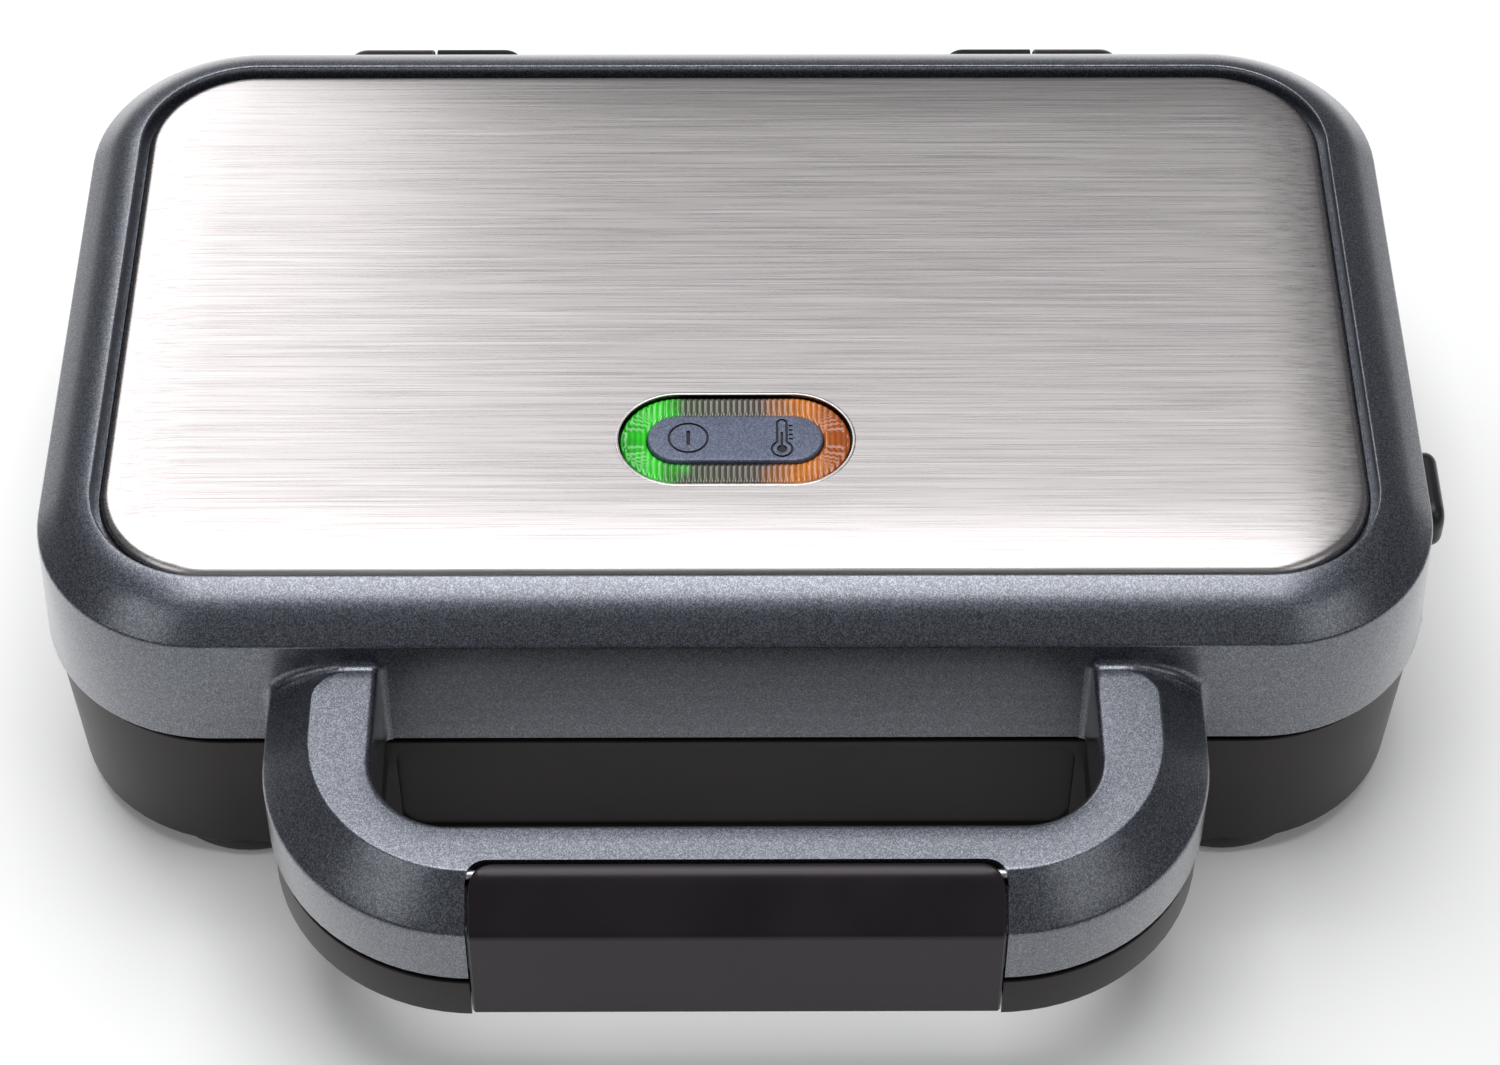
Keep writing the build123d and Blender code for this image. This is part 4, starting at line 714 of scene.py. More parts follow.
def lofted(name: str, loops: Sequence[Sequence[Point3]], crease: float, looped: bool = False) -> Piece:
    """Makes an object of rings of as many points, joined one after another with quads.

    Args:
        name: Name of the object.
        loops: The rings, in millimetres.
        crease: Angle in degrees above which edges stay sharp.
        looped: Whether the last ring joins the first; if not, both ends get a flat face.

    Returns:
        The new object.
    """
    count = len(loops[0])
    rings = [range(count * index, count * (index + 1)) for index in range(len(loops))]
    faces: list[tuple[int, ...]] = []
    for first, second in zip(rings, [*rings[1:], rings[0]] if looped else rings[1:]):
        for here in range(count):
            after = (here + 1) % count
            faces.append((first[here], first[after], second[after], second[here]))
    if not looped:
        faces += [tuple(rings[0]), tuple(rings[-1])]
    return meshed(name, [point for loop in loops for point in loop], faces, crease)


def smooth(piece: Piece, crease: float) -> None:
    """Shades a piece smooth, but for edges sharper than an angle in degrees."""
    piece.data.shade_smooth()
    piece.data.set_sharp_from_angle(angle=math.radians(crease))


def placed(name: str, mesh: bpy.types.Mesh, crease: float) -> Piece:
    """Makes a smooth-shaded object of a mesh.

    Args:
        name: Name of the object.
        mesh: Its mesh.
        crease: Angle in degrees above which edges stay sharp.

    Returns:
        The new object, linked to the scene.
    """
    made = bpy.data.objects.new(name, mesh)
    bpy.context.scene.collection.objects.link(made)
    smooth(made, crease)
    return made


def joined(name: str, pieces: Sequence[Piece], crease: float) -> Piece:
    """Makes one object of several.

    Args:
        name: Name of the new object.
        pieces: The objects, which go.
        crease: Angle in degrees above which edges stay sharp.

    Returns:
        The new object.
    """
    together = bmesh.new()
    for piece in pieces:
        together.from_mesh(piece.data)
    mesh = bpy.data.meshes.new(name)
    together.to_mesh(mesh)
    together.free()
    for piece in pieces:
        bpy.data.objects.remove(piece)
    return placed(name, mesh, crease)


def cut(piece: Piece, cutter: Piece, crease: float) -> None:
    """Cuts one closed solid out of another; the cutter goes.

    Args:
        piece: The solid that is cut.
        cutter: The solid that cuts.
        crease: Angle in degrees above which edges stay sharp.
    """
    modifier = piece.modifiers.new("cut", "BOOLEAN")
    modifier.operation = "DIFFERENCE"
    modifier.solver = "EXACT"
    modifier.object = cutter
    graph = bpy.context.evaluated_depsgraph_get()
    result = bpy.data.meshes.new_from_object(piece.evaluated_get(graph))
    piece.modifiers.clear()
    piece.data = result
    bpy.data.objects.remove(cutter)
    smooth(piece, crease)


def straight_cutter(name: str, outline: Sequence[Point2], start: Point3, axis: Axis, length: float) -> Piece:
    """A cutter of constant section along one axis.

    Args:
        name: Name of the object.
        outline: The section, in the two other axes in their order.
        start: Where the section's origin lies at the cutter's first end.
        axis: The axis it runs along.
        length: Its length.

    Returns:
        The new object.
    """
    loops = []
    for along in (0.0, length):
        loop = []
        for corner in outline:
            spot = list(corner)
            spot.insert(axis.value, along)
            loop.append(tuple(origin + step for origin, step in zip(start, spot)))
        loops.append(loop)
    return lofted(name, loops, FLOOR_CREASE)


# Lid


@dataclass(frozen=True)
class ButtonWindow:
    """Window in the right side wall that a release button comes through."""

    z: float
    start_x: float = 130.0
    y: float = -16.95
    size: Point2 = (20.7, 11.7)
    radius: float = 4.35
    depth: float = 14.0

    def build(self) -> Piece:
        """Makes the window's cutter."""
        outline = rounded_rectangle(self.size[0] / 2, self.size[1] / 2, self.radius, 8, 2, 2)
        return straight_cutter("button_window", outline, (self.start_x, self.y, self.z), Axis.X, self.depth)


@dataclass
class LidShell:
    """Painted lid casing: flared wall, crown with a rolled lip, and the front handle's upper half."""

    finishes: FinishBook
    half_width: float = 140.0
    half_depth: float = 86.0
    crease_radius: float = 35.0
    rim_flare: float = 1.4
    rim_radius_gain: float = 2.0
    rim_z: float = 42.8
    rim_inset: float = 3.0
    rim_fillet: float = 0.5
    crease_z: float = 70.0
    crease_fillet: float = 1.2
    bevel_inset: float = 3.89
    bevel_z: float = 73.46
    lip_inset: float = 11.5
    lip_inset_y: float = 12.25
    lip_radius_loss: float = 10.95
    lip_fillet: float = 0.35
    crown_radius: float = 18.0
    crown_centre_inset: float = 15.84
    crown_centre_z: float = 60.0
    crown_steps: int = 8
    deck_z: float = 73.0
    wall: float = 2.6
    roof_z: float = 70.5
    button_z: float = 62.0
    hinge_slot: Point3 = (15.9, 14.0, 11.6)
    hinge_slot_x: float = 59.75
    hinge_slot_y: float = 102.0
    hinge_slot_corner: float = 0.4
    segments: Segments = (18, 24, 12)

    def ring(self, offset: float, z: float) -> Loop:
        """One level outline of the shell.

        Args:
            offset: How far outside the crease the outline lies; negative is inside.
            z: Its height.

        Returns:
            The points.
        """
        if offset > 0.0:
            half_depth = self.half_depth + offset
            radius = self.crease_radius + offset * self.rim_radius_gain / self.rim_flare
        else:
            half_depth = self.half_depth + offset * self.lip_inset_y / self.lip_inset
            radius = self.crease_radius + offset * self.lip_radius_loss / self.lip_inset
        return level(rounded_rectangle(self.half_width + offset, half_depth, radius, *self.segments), z)

    def profile(self) -> Outline:
        """Offset and height of the outer surface, from the rim up to the deck round the plate.

        Returns:
            The run of points.
        """
        crown: Outline = []
        for step in range(1, self.crown_steps + 1):
            inset = self.bevel_inset + (self.lip_inset - self.bevel_inset) * step / self.crown_steps
            height = math.sqrt(self.crown_radius**2 - (self.crown_centre_inset - inset) ** 2)
            crown.append((-inset, self.crown_centre_z + height))
        points = [(self.rim_flare - self.rim_inset, self.rim_z), (self.rim_flare, self.rim_z)]
        points += [(0.0, self.crease_z), (-self.bevel_inset, self.bevel_z), *crown]
        points += [(-self.lip_inset, self.deck_z)]
        radii = [0.0, self.rim_fillet, self.crease_fillet, *([0.0] * self.crown_steps), self.lip_fillet, 0.0]
        return filleted(points, radii, 5)[1:]

    def hinge_slots(self) -> list[Piece]:
        """Makes the cutters of the rear wall's two openings, which the hinge brackets pass through.

        Returns:
            The cutters.
        """
        width, depth, height = self.hinge_slot
        outline = rounded_rectangle(width / 2, height / 2, self.hinge_slot_corner, 3, 2, 2)
        starts = [(side * self.hinge_slot_x, self.hinge_slot_y, HINGE_AXIS_Z) for side in (-1.0, 1.0)]
        return [straight_cutter("hinge_slot", outline, start, Axis.Y, depth) for start in starts]

    def build(self) -> Piece:
        """Makes and dresses the lid casing.

        Returns:
            The casing.
        """
        loops = [self.ring(-self.wall, self.roof_z), self.ring(self.rim_flare - self.wall, self.rim_z)]
        loops += [self.ring(offset, z) for offset, z in self.profile()]
        shell = lofted("lid_shell", loops, CASING_CREASE)
        for cutter in (ButtonWindow(self.button_z).build(), *self.hinge_slots()):
            cut(shell, cutter, CASING_CREASE)
        casing = joined("lid_casing_shell", [shell, UpperHandle().build()], CASING_CREASE)
        self.finishes.dress(casing, Slot.PAINT.value)
        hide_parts("lid_casing")
        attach(casing, Body.LID.value)
        return casing


@dataclass(frozen=True)
class HandleSweep:
    """A U-shaped bar swept from the casing's front wall, round the grip gap and back."""

    root_radius: float = 1.6
    outer_x: float = 92.0
    inner_x: float = 70.0
    outer_centre: Point2 = (50.0, -79.5)
    outer_radius: float = 42.0
    inner_centre: Point2 = (54.0, -85.2)
    inner_radius: float = 16.0
    front_y: float = -121.5
    inner_y: float = -101.2
    latch_half: float = 50.9
    arc_steps: int = 20
    start_y: float = -64.2
    arm_shares: tuple[float, ...] = (0.0, 0.015, 0.04, 0.08, 0.13, 0.20, 0.28, 0.36, 0.46, 0.6, 0.8)

    def rails(self) -> list[Station]:
        """Outer point, outer normal, inner point and inner normal of each station.

        Returns:
            The stations of the left arm and corner, from the wall to the latch's left end.
        """
        stations = []
        left, ahead = Vector((-1.0, 0.0)), Vector((0.0, -1.0))
        outer_hub, inner_hub = (Vector((-x, y)) for x, y in (self.outer_centre, self.inner_centre))
        for share in self.arm_shares:
            outer = Vector((-self.outer_x, self.start_y + (outer_hub.y - self.start_y) * share))
            inner = Vector((-self.inner_x, self.start_y + (inner_hub.y - self.start_y) * share))
            stations.append((outer, left, inner, left))
        last = math.radians(270.0) - math.asin((self.latch_half - self.outer_centre[0]) / self.outer_radius)
        for step in range(self.arc_steps):
            turn = math.radians(180.0 + 90.0 * step / self.arc_steps)
            out, inn = (Vector((math.cos(angle), math.sin(angle))) for angle in (min(turn, last), turn))
            outer, inner = outer_hub + out * self.outer_radius, inner_hub + inn * self.inner_radius
            stations.append((outer, out, inner, inn))
        outer = outer_hub + Vector((math.cos(last), math.sin(last))) * self.outer_radius
        stations.append((outer, ahead, Vector((-self.latch_half, self.inner_y)), ahead))
        return stations


@dataclass
class HandleHalf:
    """What the two halves of the front handle share: a section that follows the sweep's rails."""

    sweep: HandleSweep = HandleSweep()

    def outer_profile(self, brow: float = 0.0) -> Outline:
        """Inset from the outer rail and height, from the rail's far side to its near side."""
        raise NotImplementedError

    def inner_profile(self) -> Outline:
        """Inset from the inner rail and height, on from where the outer profile ends."""
        raise NotImplementedError

    def brow(self, y: float) -> float:
        """How much wider the outer profile's band is at a place in Y."""
        return 0.0

    def lean(self, y: float, z: float) -> float:
        """How far a point at a height moves in Y, by its station's place in Y."""
        return 0.0

    def section(self, station: Station) -> Loop:
        """The full section at one station.

        Args:
            station: The station, as the sweep gives it.

        Returns:
            The points.
        """
        outer, out, inner, inn = station
        run = [(outer - out * inset, z) for inset, z in self.outer_profile(self.brow(outer.y))]
        run += [(inner + inn * inset, z) for inset, z in self.inner_profile()]
        return [(spot.x, spot.y + self.lean(outer.y, z), z) for spot, z in run]

    def inner_run(self, x: float) -> Loop:
        """The straight front's inner profile at a place in X."""
        return [(x, self.sweep.inner_y - inset, z) for inset, z in self.inner_profile()]


@dataclass
class UpperHandle(HandleHalf):
    """Upper half of the front handle, with its crest, sloping band and flat top."""

    bottom_z: float = 42.8
    crest_z: float = 57.0
    top_z: float = 65.0
    band_inset: float = 9.5
    band_shares: tuple[float, ...] = (0.3, 0.4, 0.5, 0.6, 0.7)
    bottom_inset: float = 1.6
    bottom_fillet: float = 0.5
    crest_fillet: float = 1.5
    flat_fillet: float = 1.2
    flat_fillet_gain: float = 0.4
    flat_reach: float = 4.0
    flat_least: float = 1.3
    brow_radius: float = 6.5
    brow_arch: float = 0.75
    lean_reach: float = 6.0
    inner_fillets: Point2 = (1.5, 0.4)
    inner_reaches: Point2 = (4.5, 1.5)
    root_gaps: tuple[float, ...] = (-0.7, 0.0, 0.1, 0.25, 0.5, 0.8, 1.2, 1.6)
    recess_front: float = -118.95
    recess_rear: float = -109.6
    recess_corner: float = 4.2
    recess_ledge: tuple[Point2, ...] = ((-118.95, 56.6), (-115.5, 59.6))
    barrel_room: float = 2.2
    barrel_arc: Point2 = (225.0, 135.0)
    surface_from: float = 55.0
    least_flat: float = 0.5
    middle_xs: tuple[float, ...] = (-30.0, -15.0)

    def wall_y(self, z: float) -> float:
        """The lid's front wall plane at a height."""
        share = (LidShell.crease_z - z) / (LidShell.crease_z - LidShell.rim_z)
        return CASING_CENTRE_Y - LidShell.half_depth - LidShell.rim_flare * share

    def outer_profile(self, brow: float = 0.0) -> Outline:
        """Inset from the outer rail and height, from the bottom up to the flat top.

        Args:
            brow: How much wider the sloping band is here than along the front.

        Returns:
            The run of points.
        """
        inset = self.band_inset + brow
        rise = self.top_z - self.crest_z
        points = [(self.bottom_inset, self.bottom_z), (0.0, self.bottom_z), (0.0, self.crest_z)]
        points += [(inset * share, self.crest_z + rise * share) for share in self.band_shares]
        flat_end = max(self.band_inset + self.flat_reach, inset + self.flat_least)
        points += [(inset, self.top_z), (flat_end, self.top_z)]
        radii = [0.0, self.bottom_fillet, self.crest_fillet, *(0.0 for _ in self.band_shares)]
        radii += [self.flat_fillet + self.flat_fillet_gain * brow, 0.0]
        arched = []
        for place, z in filleted(points, radii, 5):
            share = min(max(place / inset, 0.0), 1.0)
            bulge = math.sqrt(1.0 - (1.0 - share) ** 2) - share if z > self.crest_z else 0.0
            arch = rise * bulge * self.brow_arch * brow / self.brow_radius
            arched.append((place, min(z + arch, self.top_z)))
        return arched

    def inner_profile(self) -> Outline:
        """Inset from the inner rail and height, from the flat top down to the bottom.

        Returns:
            The run of points.
        """
        reach, low_reach = self.inner_reaches
        points = [(reach, self.top_z), (0.0, self.top_z), (0.0, self.bottom_z), (low_reach, self.bottom_z)]
        return filleted(points, [0.0, *self.inner_fillets, 0.0], 5)

    def brow(self, y: float) -> float:
        """How much wider the band is at a place in Y, where the flat top narrows to the wall.

        Args:
            y: The place.

        Returns:
            The extra width.
        """
        gap = self.wall_y(self.top_z) - self.sweep.root_radius - y
        short = min(max(self.brow_radius - gap, 0.0), self.brow_radius)
        return self.brow_radius - math.sqrt(self.brow_radius**2 - short**2)

    def lean(self, y: float, z: float) -> float:
        """Leans the first stations with the wall."""
        fade = max(1.0 - (self.sweep.start_y - y) / self.lean_reach, 0.0)
        return (self.wall_y(z) - self.wall_y(self.top_z)) * fade

    def recess_section(self, x: float) -> Loop:
        """The section behind the latch, with as many points as the full one.

        Args:
            x: The place in X.

        Returns:
            The points.
        """
        rear = rear_edge(x, self.sweep.latch_half, self.recess_rear, self.recess_corner)
        floor = [(self.recess_front, self.bottom_z), *self.recess_ledge]
        floor += arc(LATCH_BARREL, self.barrel_room, *self.barrel_arc, 4)
        floor = [(min(y, rear), z) for y, z in floor]
        profile = self.outer_profile()
        surface = [(self.sweep.front_y + inset, z) for inset, z in profile if z > self.surface_from]
        wanted = len(profile) - len(floor)
        end = self.sweep.front_y + self.band_inset + self.flat_reach
        for step in range(wanted):
            y = rear + max(end - rear, self.least_flat) * step / (wanted - 1)
            floor.append((y, height_at(surface, y, self.top_z)))
        return [(x, y, z) for y, z in floor] + self.inner_run(x)

    def root_loops(self, station: Station) -> list[Loop]:
        """Flared loops where the left arm meets the wall, from inside the wall outwards.

        Args:
            station: The arm's first station.

        Returns:
            The loops.
        """
        flat = [(x, z) for x, _, z in self.section(station)]
        radius = self.sweep.root_radius
        loops = []
        for gap in self.root_gaps:
            flare = radius - math.sqrt(radius**2 - (radius - max(gap, 0.0)) ** 2)
            run = [(x, max(z, self.bottom_z)) for x, z in grown(flat, flare)]
            loops.append([(x, self.wall_y(z) - gap, z) for x, z in run])
        return loops

    def build(self) -> Piece:
        """Makes the closed handle.

        Returns:
            The handle.
        """
        stations = self.sweep.rails()
        half = self.root_loops(stations[0]) + [self.section(station) for station in stations]
        turns = [math.radians(angle) for angle in range(0, 91, 10)]
        xs = [self.recess_corner * (1 - math.cos(turn)) - self.sweep.latch_half for turn in turns]
        half += [self.recess_section(x) for x in (*xs, *self.middle_xs)]
        return lofted("upper_handle", both_sides(half, self.recess_section(0.0)), CASING_CREASE)


@dataclass
class TopPlate:
    """Brushed steel plate with a rolled edge and the indicator's opening."""

    finishes: FinishBook
    half_width: float = 127.25
    half_depth: float = 72.5
    radius: float = 22.8
    under_z: float = 73.0
    under_reach: float = 3.6
    top_z: float = 77.2
    roll: float = 2.6
    sag: float = 0.75
    sag_reach: float = 17.0
    steps: int = 10
    segments: Segments = (20, 30, 14)
    opening: Point2 = (47.4, 24.3)
    opening_from: float = 70.0
    opening_depth: float = 12.0
    lip_profile: tuple[Point2, ...] = (
        (0.0, 76.0), (0.0, 77.0), (0.12, 77.24), (0.32, 77.30), (0.58, 77.24), (0.7, 77.1), (0.7, 76.0)
    )

    def profile(self) -> Outline:
        """Inset and height of the plate, from the inner edge of its underside to the flat top.

        Returns:
            The run of points.
        """
        tilt = math.degrees(math.atan(2 * self.sag / self.sag_reach))
        hub = (self.roll, self.top_z - self.sag - self.roll * math.cos(math.radians(tilt)))
        rolled = arc(hub, self.roll, 180.0, tilt - 90.0, self.steps)
        edge = rolled[-1][0]
        crown = []
        for share in (step / self.steps for step in range(1, self.steps + 1)):
            crown.append((edge + self.sag_reach * share, self.top_z - self.sag * (1 - share) ** 2))
        return [(self.under_reach, self.under_z), (0.0, self.under_z), *rolled, *crown]

    def build(self) -> Piece:
        """Makes and dresses the plate.

        Returns:
            The plate.
        """
        loops = []
        for inset, z in self.profile():
            sizes = [size - inset for size in (self.half_width, self.half_depth, self.radius)]
            loops.append(level(rounded_rectangle(*sizes, *self.segments), z))
        plate = lofted("steel_plate", loops, PLATE_CREASE)
        start = (0.0, INDICATOR_Y, self.opening_from)
        opening = straight_cutter("opening", stadium(*self.opening), start, Axis.Z, self.opening_depth)
        cut(plate, opening, PLATE_CREASE)
        rings = []
        for spread, z in self.lip_profile:
            rings.append(level(stadium(*(size + 2 * spread for size in self.opening)), z, INDICATOR_Y))
        lip = lofted("opening_lip", rings, PLATE_CREASE, looped=True)
        piece = joined("steel_plate", [plate, lip], PLATE_CREASE)
        self.finishes.dress(piece, Slot.STEEL.value)
        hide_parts("top_plate")
        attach(piece, Body.LID.value)
        return piece


@dataclass
class Indicator:
    """Ribbed lens ring, lit green and amber, round a blue-grey badge with two sunk symbols."""

    finishes: FinishBook
    lens_size: Point2 = (46.8, 23.7)
    band: float = 5.7
    lens_z: float = 76.55
    lens_foot_z: float = 73.4
    lens_segments: tuple[int, int] = (110, 100)
    rib_pitch: float = 1.155
    rib_rise: float = 0.42
    rib_fade: float = 6.0
    lens_roll: float = 0.9
    lens_roll_share: float = 0.09
    lens_shares: tuple[float, ...] = (
        0.0, 0.015, 0.03, 0.05, 0.07, 0.1, 0.14, 0.2, 0.3, 0.4, 0.5,
        0.6, 0.7, 0.8, 0.86, 0.9, 0.93, 0.95, 0.97, 0.985, 1.0,
    )
    badge_size: Point2 = (35.5, 12.4)
    badge_z: float = 77.45
    badge_foot_z: float = 74.0
    badge_roll: float = 0.55
    badge_segments: tuple[int, int] = (24, 20)
    groove_depth: float = 0.32
    groove_rise: float = 1.0
    # Heights of the stroke floors that take the painted groove shade.
    groove_shade_band: Point2 = (0.5, 0.02)
    groove_margin: float = 0.05
    line: float = 0.5
    power_centre: Point2 = (-9.5, 0.0)
    power_radius: float = 4.15
    power_bar: Point2 = (4.0, 0.8)
    bulb_centre: Point2 = (9.4, -3.0)
    thermometer_size: Point3 = (2.3, 1.2, 5.2)
    mercury_size: Point3 = (1.05, 0.26, 1.6)
    tick: Point2 = (0.9, 0.45)
    tick_ys: tuple[float, ...] = (-0.3, 0.9, 2.1, 3.3)
    tick_gap: float = 0.15

    def rib_z(self, x: float, share: float) -> float:
        """Height of the ribbed surface.

        Args:
            x: Place along the lens.
            share: Place across the band, from 0 at its outer edge to 1 at its inner edge.

        Returns:
            The height.
        """
        phase = (x / self.rib_pitch + 0.5) % 1.0
        edge = min(share, 1.0 - share)
        rise = self.rib_rise * min(1.0, self.rib_fade * edge) * (1.0 - (2.0 * phase - 1.0) ** 2)
        return self.lens_z - self.lens_roll * max(1.0 - edge / self.lens_roll_share, 0.0) ** 2 + rise

    def lens(self) -> Piece:
        """Makes and dresses the lens.

        Returns:
            The lens.
        """
        loops = []
        for share in self.lens_shares:
            sizes = (size - 2 * self.band * share for size in self.lens_size)
            shape = stadium(*sizes, *self.lens_segments)
            loops.append([(x, y + INDICATOR_Y, self.rib_z(x, share)) for x, y in shape])
        inner_foot, outer_foot = ([(x, y, self.lens_foot_z) for x, y, _ in loops[end]] for end in (-1, 0))
        lens = lofted("lens_ring", [outer_foot, *loops, inner_foot], LENS_CREASE, looped=True)
        self.finishes.dress(lens, Slot.LENS.value)
        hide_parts("indicator_lens")
        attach(lens, Body.LID.value)
        return lens

    def groove(self, name: str, outline: Sequence[Point2], hole: Sequence[Point2] = ()) -> Piece:
        """A cutter for one sunk stroke.

        Args:
            name: Name of the object.
            outline: Its outer outline.
            hole: Its inner outline, where the stroke is a closed line.

        Returns:
            The cutter.
        """
        low, high = self.badge_z - self.groove_depth, self.badge_z + self.groove_rise
        loops = [level(outline, z, INDICATOR_Y) for z in (low, high)]
        if hole:
            loops += [level(hole, z, INDICATOR_Y) for z in (high, low)]
        return lofted(name, loops, SMALL_PART_CREASE, looped=bool(hole))

    def thermometer(self, size: Point3, inset: float = 0.0) -> Outline:
        """Outline of a bulb with a round-topped stem, anticlockwise.

        Args:
            size: The bulb's radius, half the stem's width and the height of its top.
            inset: How far inside that the outline lies.

        Returns:
            The points.
        """
        bulb, half, top = (part - inset for part in size)
        neck = math.degrees(math.asin(half / bulb))
        stem = arc((self.bulb_centre[0], top - half), half, 0.0, 180.0, 12)
        return arc(self.bulb_centre, bulb, 90.0 + neck, 360.0 - 2 * neck, 32) + stem

    def symbols(self) -> list[Piece]:
        """Cutters for the power ring with its bar and for the thermometer with its scale.

        Returns:
            The cutters.
        """
        ring, hole = (circle(self.power_centre, self.power_radius - inset, 48) for inset in (0.0, self.line))
        bar = [(self.power_centre[0] + v, u) for u, v in stadium(*self.power_bar, 5, 1)]
        glass, bore = (self.thermometer(self.thermometer_size, inset) for inset in (0.0, self.line))
        mercury = self.thermometer(self.mercury_size)
        strokes = [self.groove("power_ring", ring, hole), self.groove("power_bar", bar)]
        strokes += [self.groove("thermometer", glass, bore), self.groove("mercury", mercury)]
        tick_x = self.bulb_centre[0] + self.thermometer_size[1] + self.tick_gap + self.tick[0] / 2
        for tick_y in self.tick_ys:
            tick = [(tick_x + u, tick_y + v) for u, v in stadium(*self.tick, 5, 1)]
            strokes.append(self.groove("tick", tick))
        return strokes

    def paint_groove_shade(self, badge: Piece) -> None:
        """Darkens the floors of the badge's sunk strokes with the icon_groove finish, as painted shade in
        the grooves.

        Args:
            badge: The badge, with its strokes cut.
        """
        # The stroke floors take the dark icon_groove finish: painted shade in the grooves.
        badge.data.materials.append(self.finishes.materials["icon_groove"])
        length, height = self.badge_size
        reach = (height / 2 - self.badge_roll - self.groove_margin) * MM
        straight = (length - height) / 2 * MM
        low, high = ((self.badge_z - drop) * MM for drop in self.groove_shade_band)
        for face in badge.data.polygons:
            x, y = face.center.x, face.center.y - INDICATOR_Y * MM
            if math.hypot(max(abs(x) - straight, 0.0), y) < reach and low < face.center.z < high:
                face.material_index = 1

    def badge(self) -> Piece:
        """Makes and dresses the badge.

        Returns:
            The badge.
        """
        rolled = arc((self.badge_roll, self.badge_z - self.badge_roll), self.badge_roll, 180.0, -90.0, 8)
        loops = []
        for inset, z in [(0.0, self.badge_foot_z), *rolled]:
            shape = stadium(*(size - 2 * inset for size in self.badge_size), *self.badge_segments)
            loops.append(level(shape, z, INDICATOR_Y))
        badge = lofted("badge", loops, SMALL_PART_CREASE)
        for stroke in self.symbols():
            cut(badge, stroke, SMALL_PART_CREASE)
        self.finishes.dress(badge, Slot.BADGE.value)
        self.paint_groove_shade(badge)
        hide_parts("indicator_badge")
        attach(badge, Body.LID.value)
        return badge

    def build(self) -> list[Piece]:
        """Makes the lens and the badge."""
        return [self.lens(), self.badge()]


# Latch


@dataclass
class Latch:
    """Wide hinged clip that wraps over the handles' front and hooks under the lower one."""

    finishes: FinishBook
    half_width: float = 50.5
    corner: float = 5.0
    rear_y: float = -110.0
    rear_roll: float = 1.2
    front_y: float = -121.95
    crest_reach: float = 3.2
    crest_z: float = 57.0
    top_z: float = 65.0
    foot_z: float = 32.0
    foot_roll: float = 0.5
    wall: float = 2.6
    hook_reach: float = 3.0
    hook_height: float = 2.2
    hook_bevel: float = 0.4
    edge: float = 0.45
    barrel_radius: float = 1.8
    barrel_arc: Point2 = (235.0, 125.0)
    surface_from: float = 55.5
    flat_span: Point2 = (-106.0, -112.7)
    crest_fillets: Point2 = (2.4, 2.2)
    inner_drop: float = 0.6
    middle_xs: tuple[float, ...] = (30.0, 15.0)

    def outer_run(self) -> Outline:
        """Outer surface in Y and Z, from the rear of the top down to the foot.

        Returns:
            The run of points.
        """
        points = [(y, self.top_z) for y in self.flat_span]
        points += [(self.front_y, z) for z in (self.crest_z, self.foot_z)]
        return filleted(points, [0.0, *self.crest_fillets, 0.0], 7)

    def section(self, x: float) -> Outline:
        """The closed section in Y and Z.

        Args:
            x: The place in X.

        Returns:
            The points.
        """
        outer = self.outer_run()
        surface = [point for point in outer if point[1] > self.surface_from]
        foot, crest_y = self.foot_z + self.foot_roll, self.front_y + self.crest_reach
        crest = [(y, max(z, foot)) for y, z in outer if y < crest_y]
        rear = rear_edge(x, self.half_width, self.rear_y, self.corner)
        start = rear - self.rear_roll
        hub = (start, height_at(surface, start, self.top_z) - self.rear_roll)
        top = arc(hub, self.rear_roll, 0.0, 90.0, 4)
        for y in (start + (crest[0][0] - start) * step / 8 for step in range(1, 8)):
            top.append((y, height_at(surface, y, self.top_z)))
        inner_y = self.front_y + self.wall
        hook_y = inner_y + self.hook_reach
        inside = [
            (self.front_y + self.foot_roll, self.foot_z),
            (hook_y - self.hook_bevel, self.foot_z),
            (hook_y, self.foot_z + self.hook_bevel),
            (hook_y, self.foot_z + self.hook_height / 2),
            (inner_y, self.foot_z + self.hook_height),
            (inner_y, self.crest_z - self.inner_drop),
        ]
        floor = [(min(y, rear), z) for y, z in arc(LATCH_BARREL, self.barrel_radius, *self.barrel_arc, 5)]
        return [*top, *crest, *inside, *floor]

    def build(self) -> Piece:
        """Makes and dresses the latch.

        Returns:
            The latch.
        """
        shares = [math.sin(math.radians(90.0 * step / 4)) for step in range(5)]
        stations = [(self.half_width - self.edge * share, self.edge * (1 - share)) for share in shares]
        for turn in (math.radians(angle) for angle in range(15, 91, 15)):
            stations.append((self.half_width - self.corner * (1 - math.cos(turn)) - self.edge, 0.0))
        stations += [(x, 0.0) for x in self.middle_xs]
        half = [[(x, y, z) for y, z in grown(self.section(x), inset)] for x, inset in stations]
        middle = [(0.0, y, z) for y, z in self.section(0.0)]
        latch = lofted("latch_clip", both_sides(half, middle), SMALL_PART_CREASE)
        self.finishes.dress(latch, Slot.LATCH.value)
        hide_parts("latch")
        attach(latch, Body.LATCH.value)
        return latch


# Base

LOWER_SWEEP = HandleSweep(
    outer_x=91.5, inner_x=70.5, outer_radius=41.5, inner_radius=16.5, front_y=-121.0, inner_y=-101.7
)


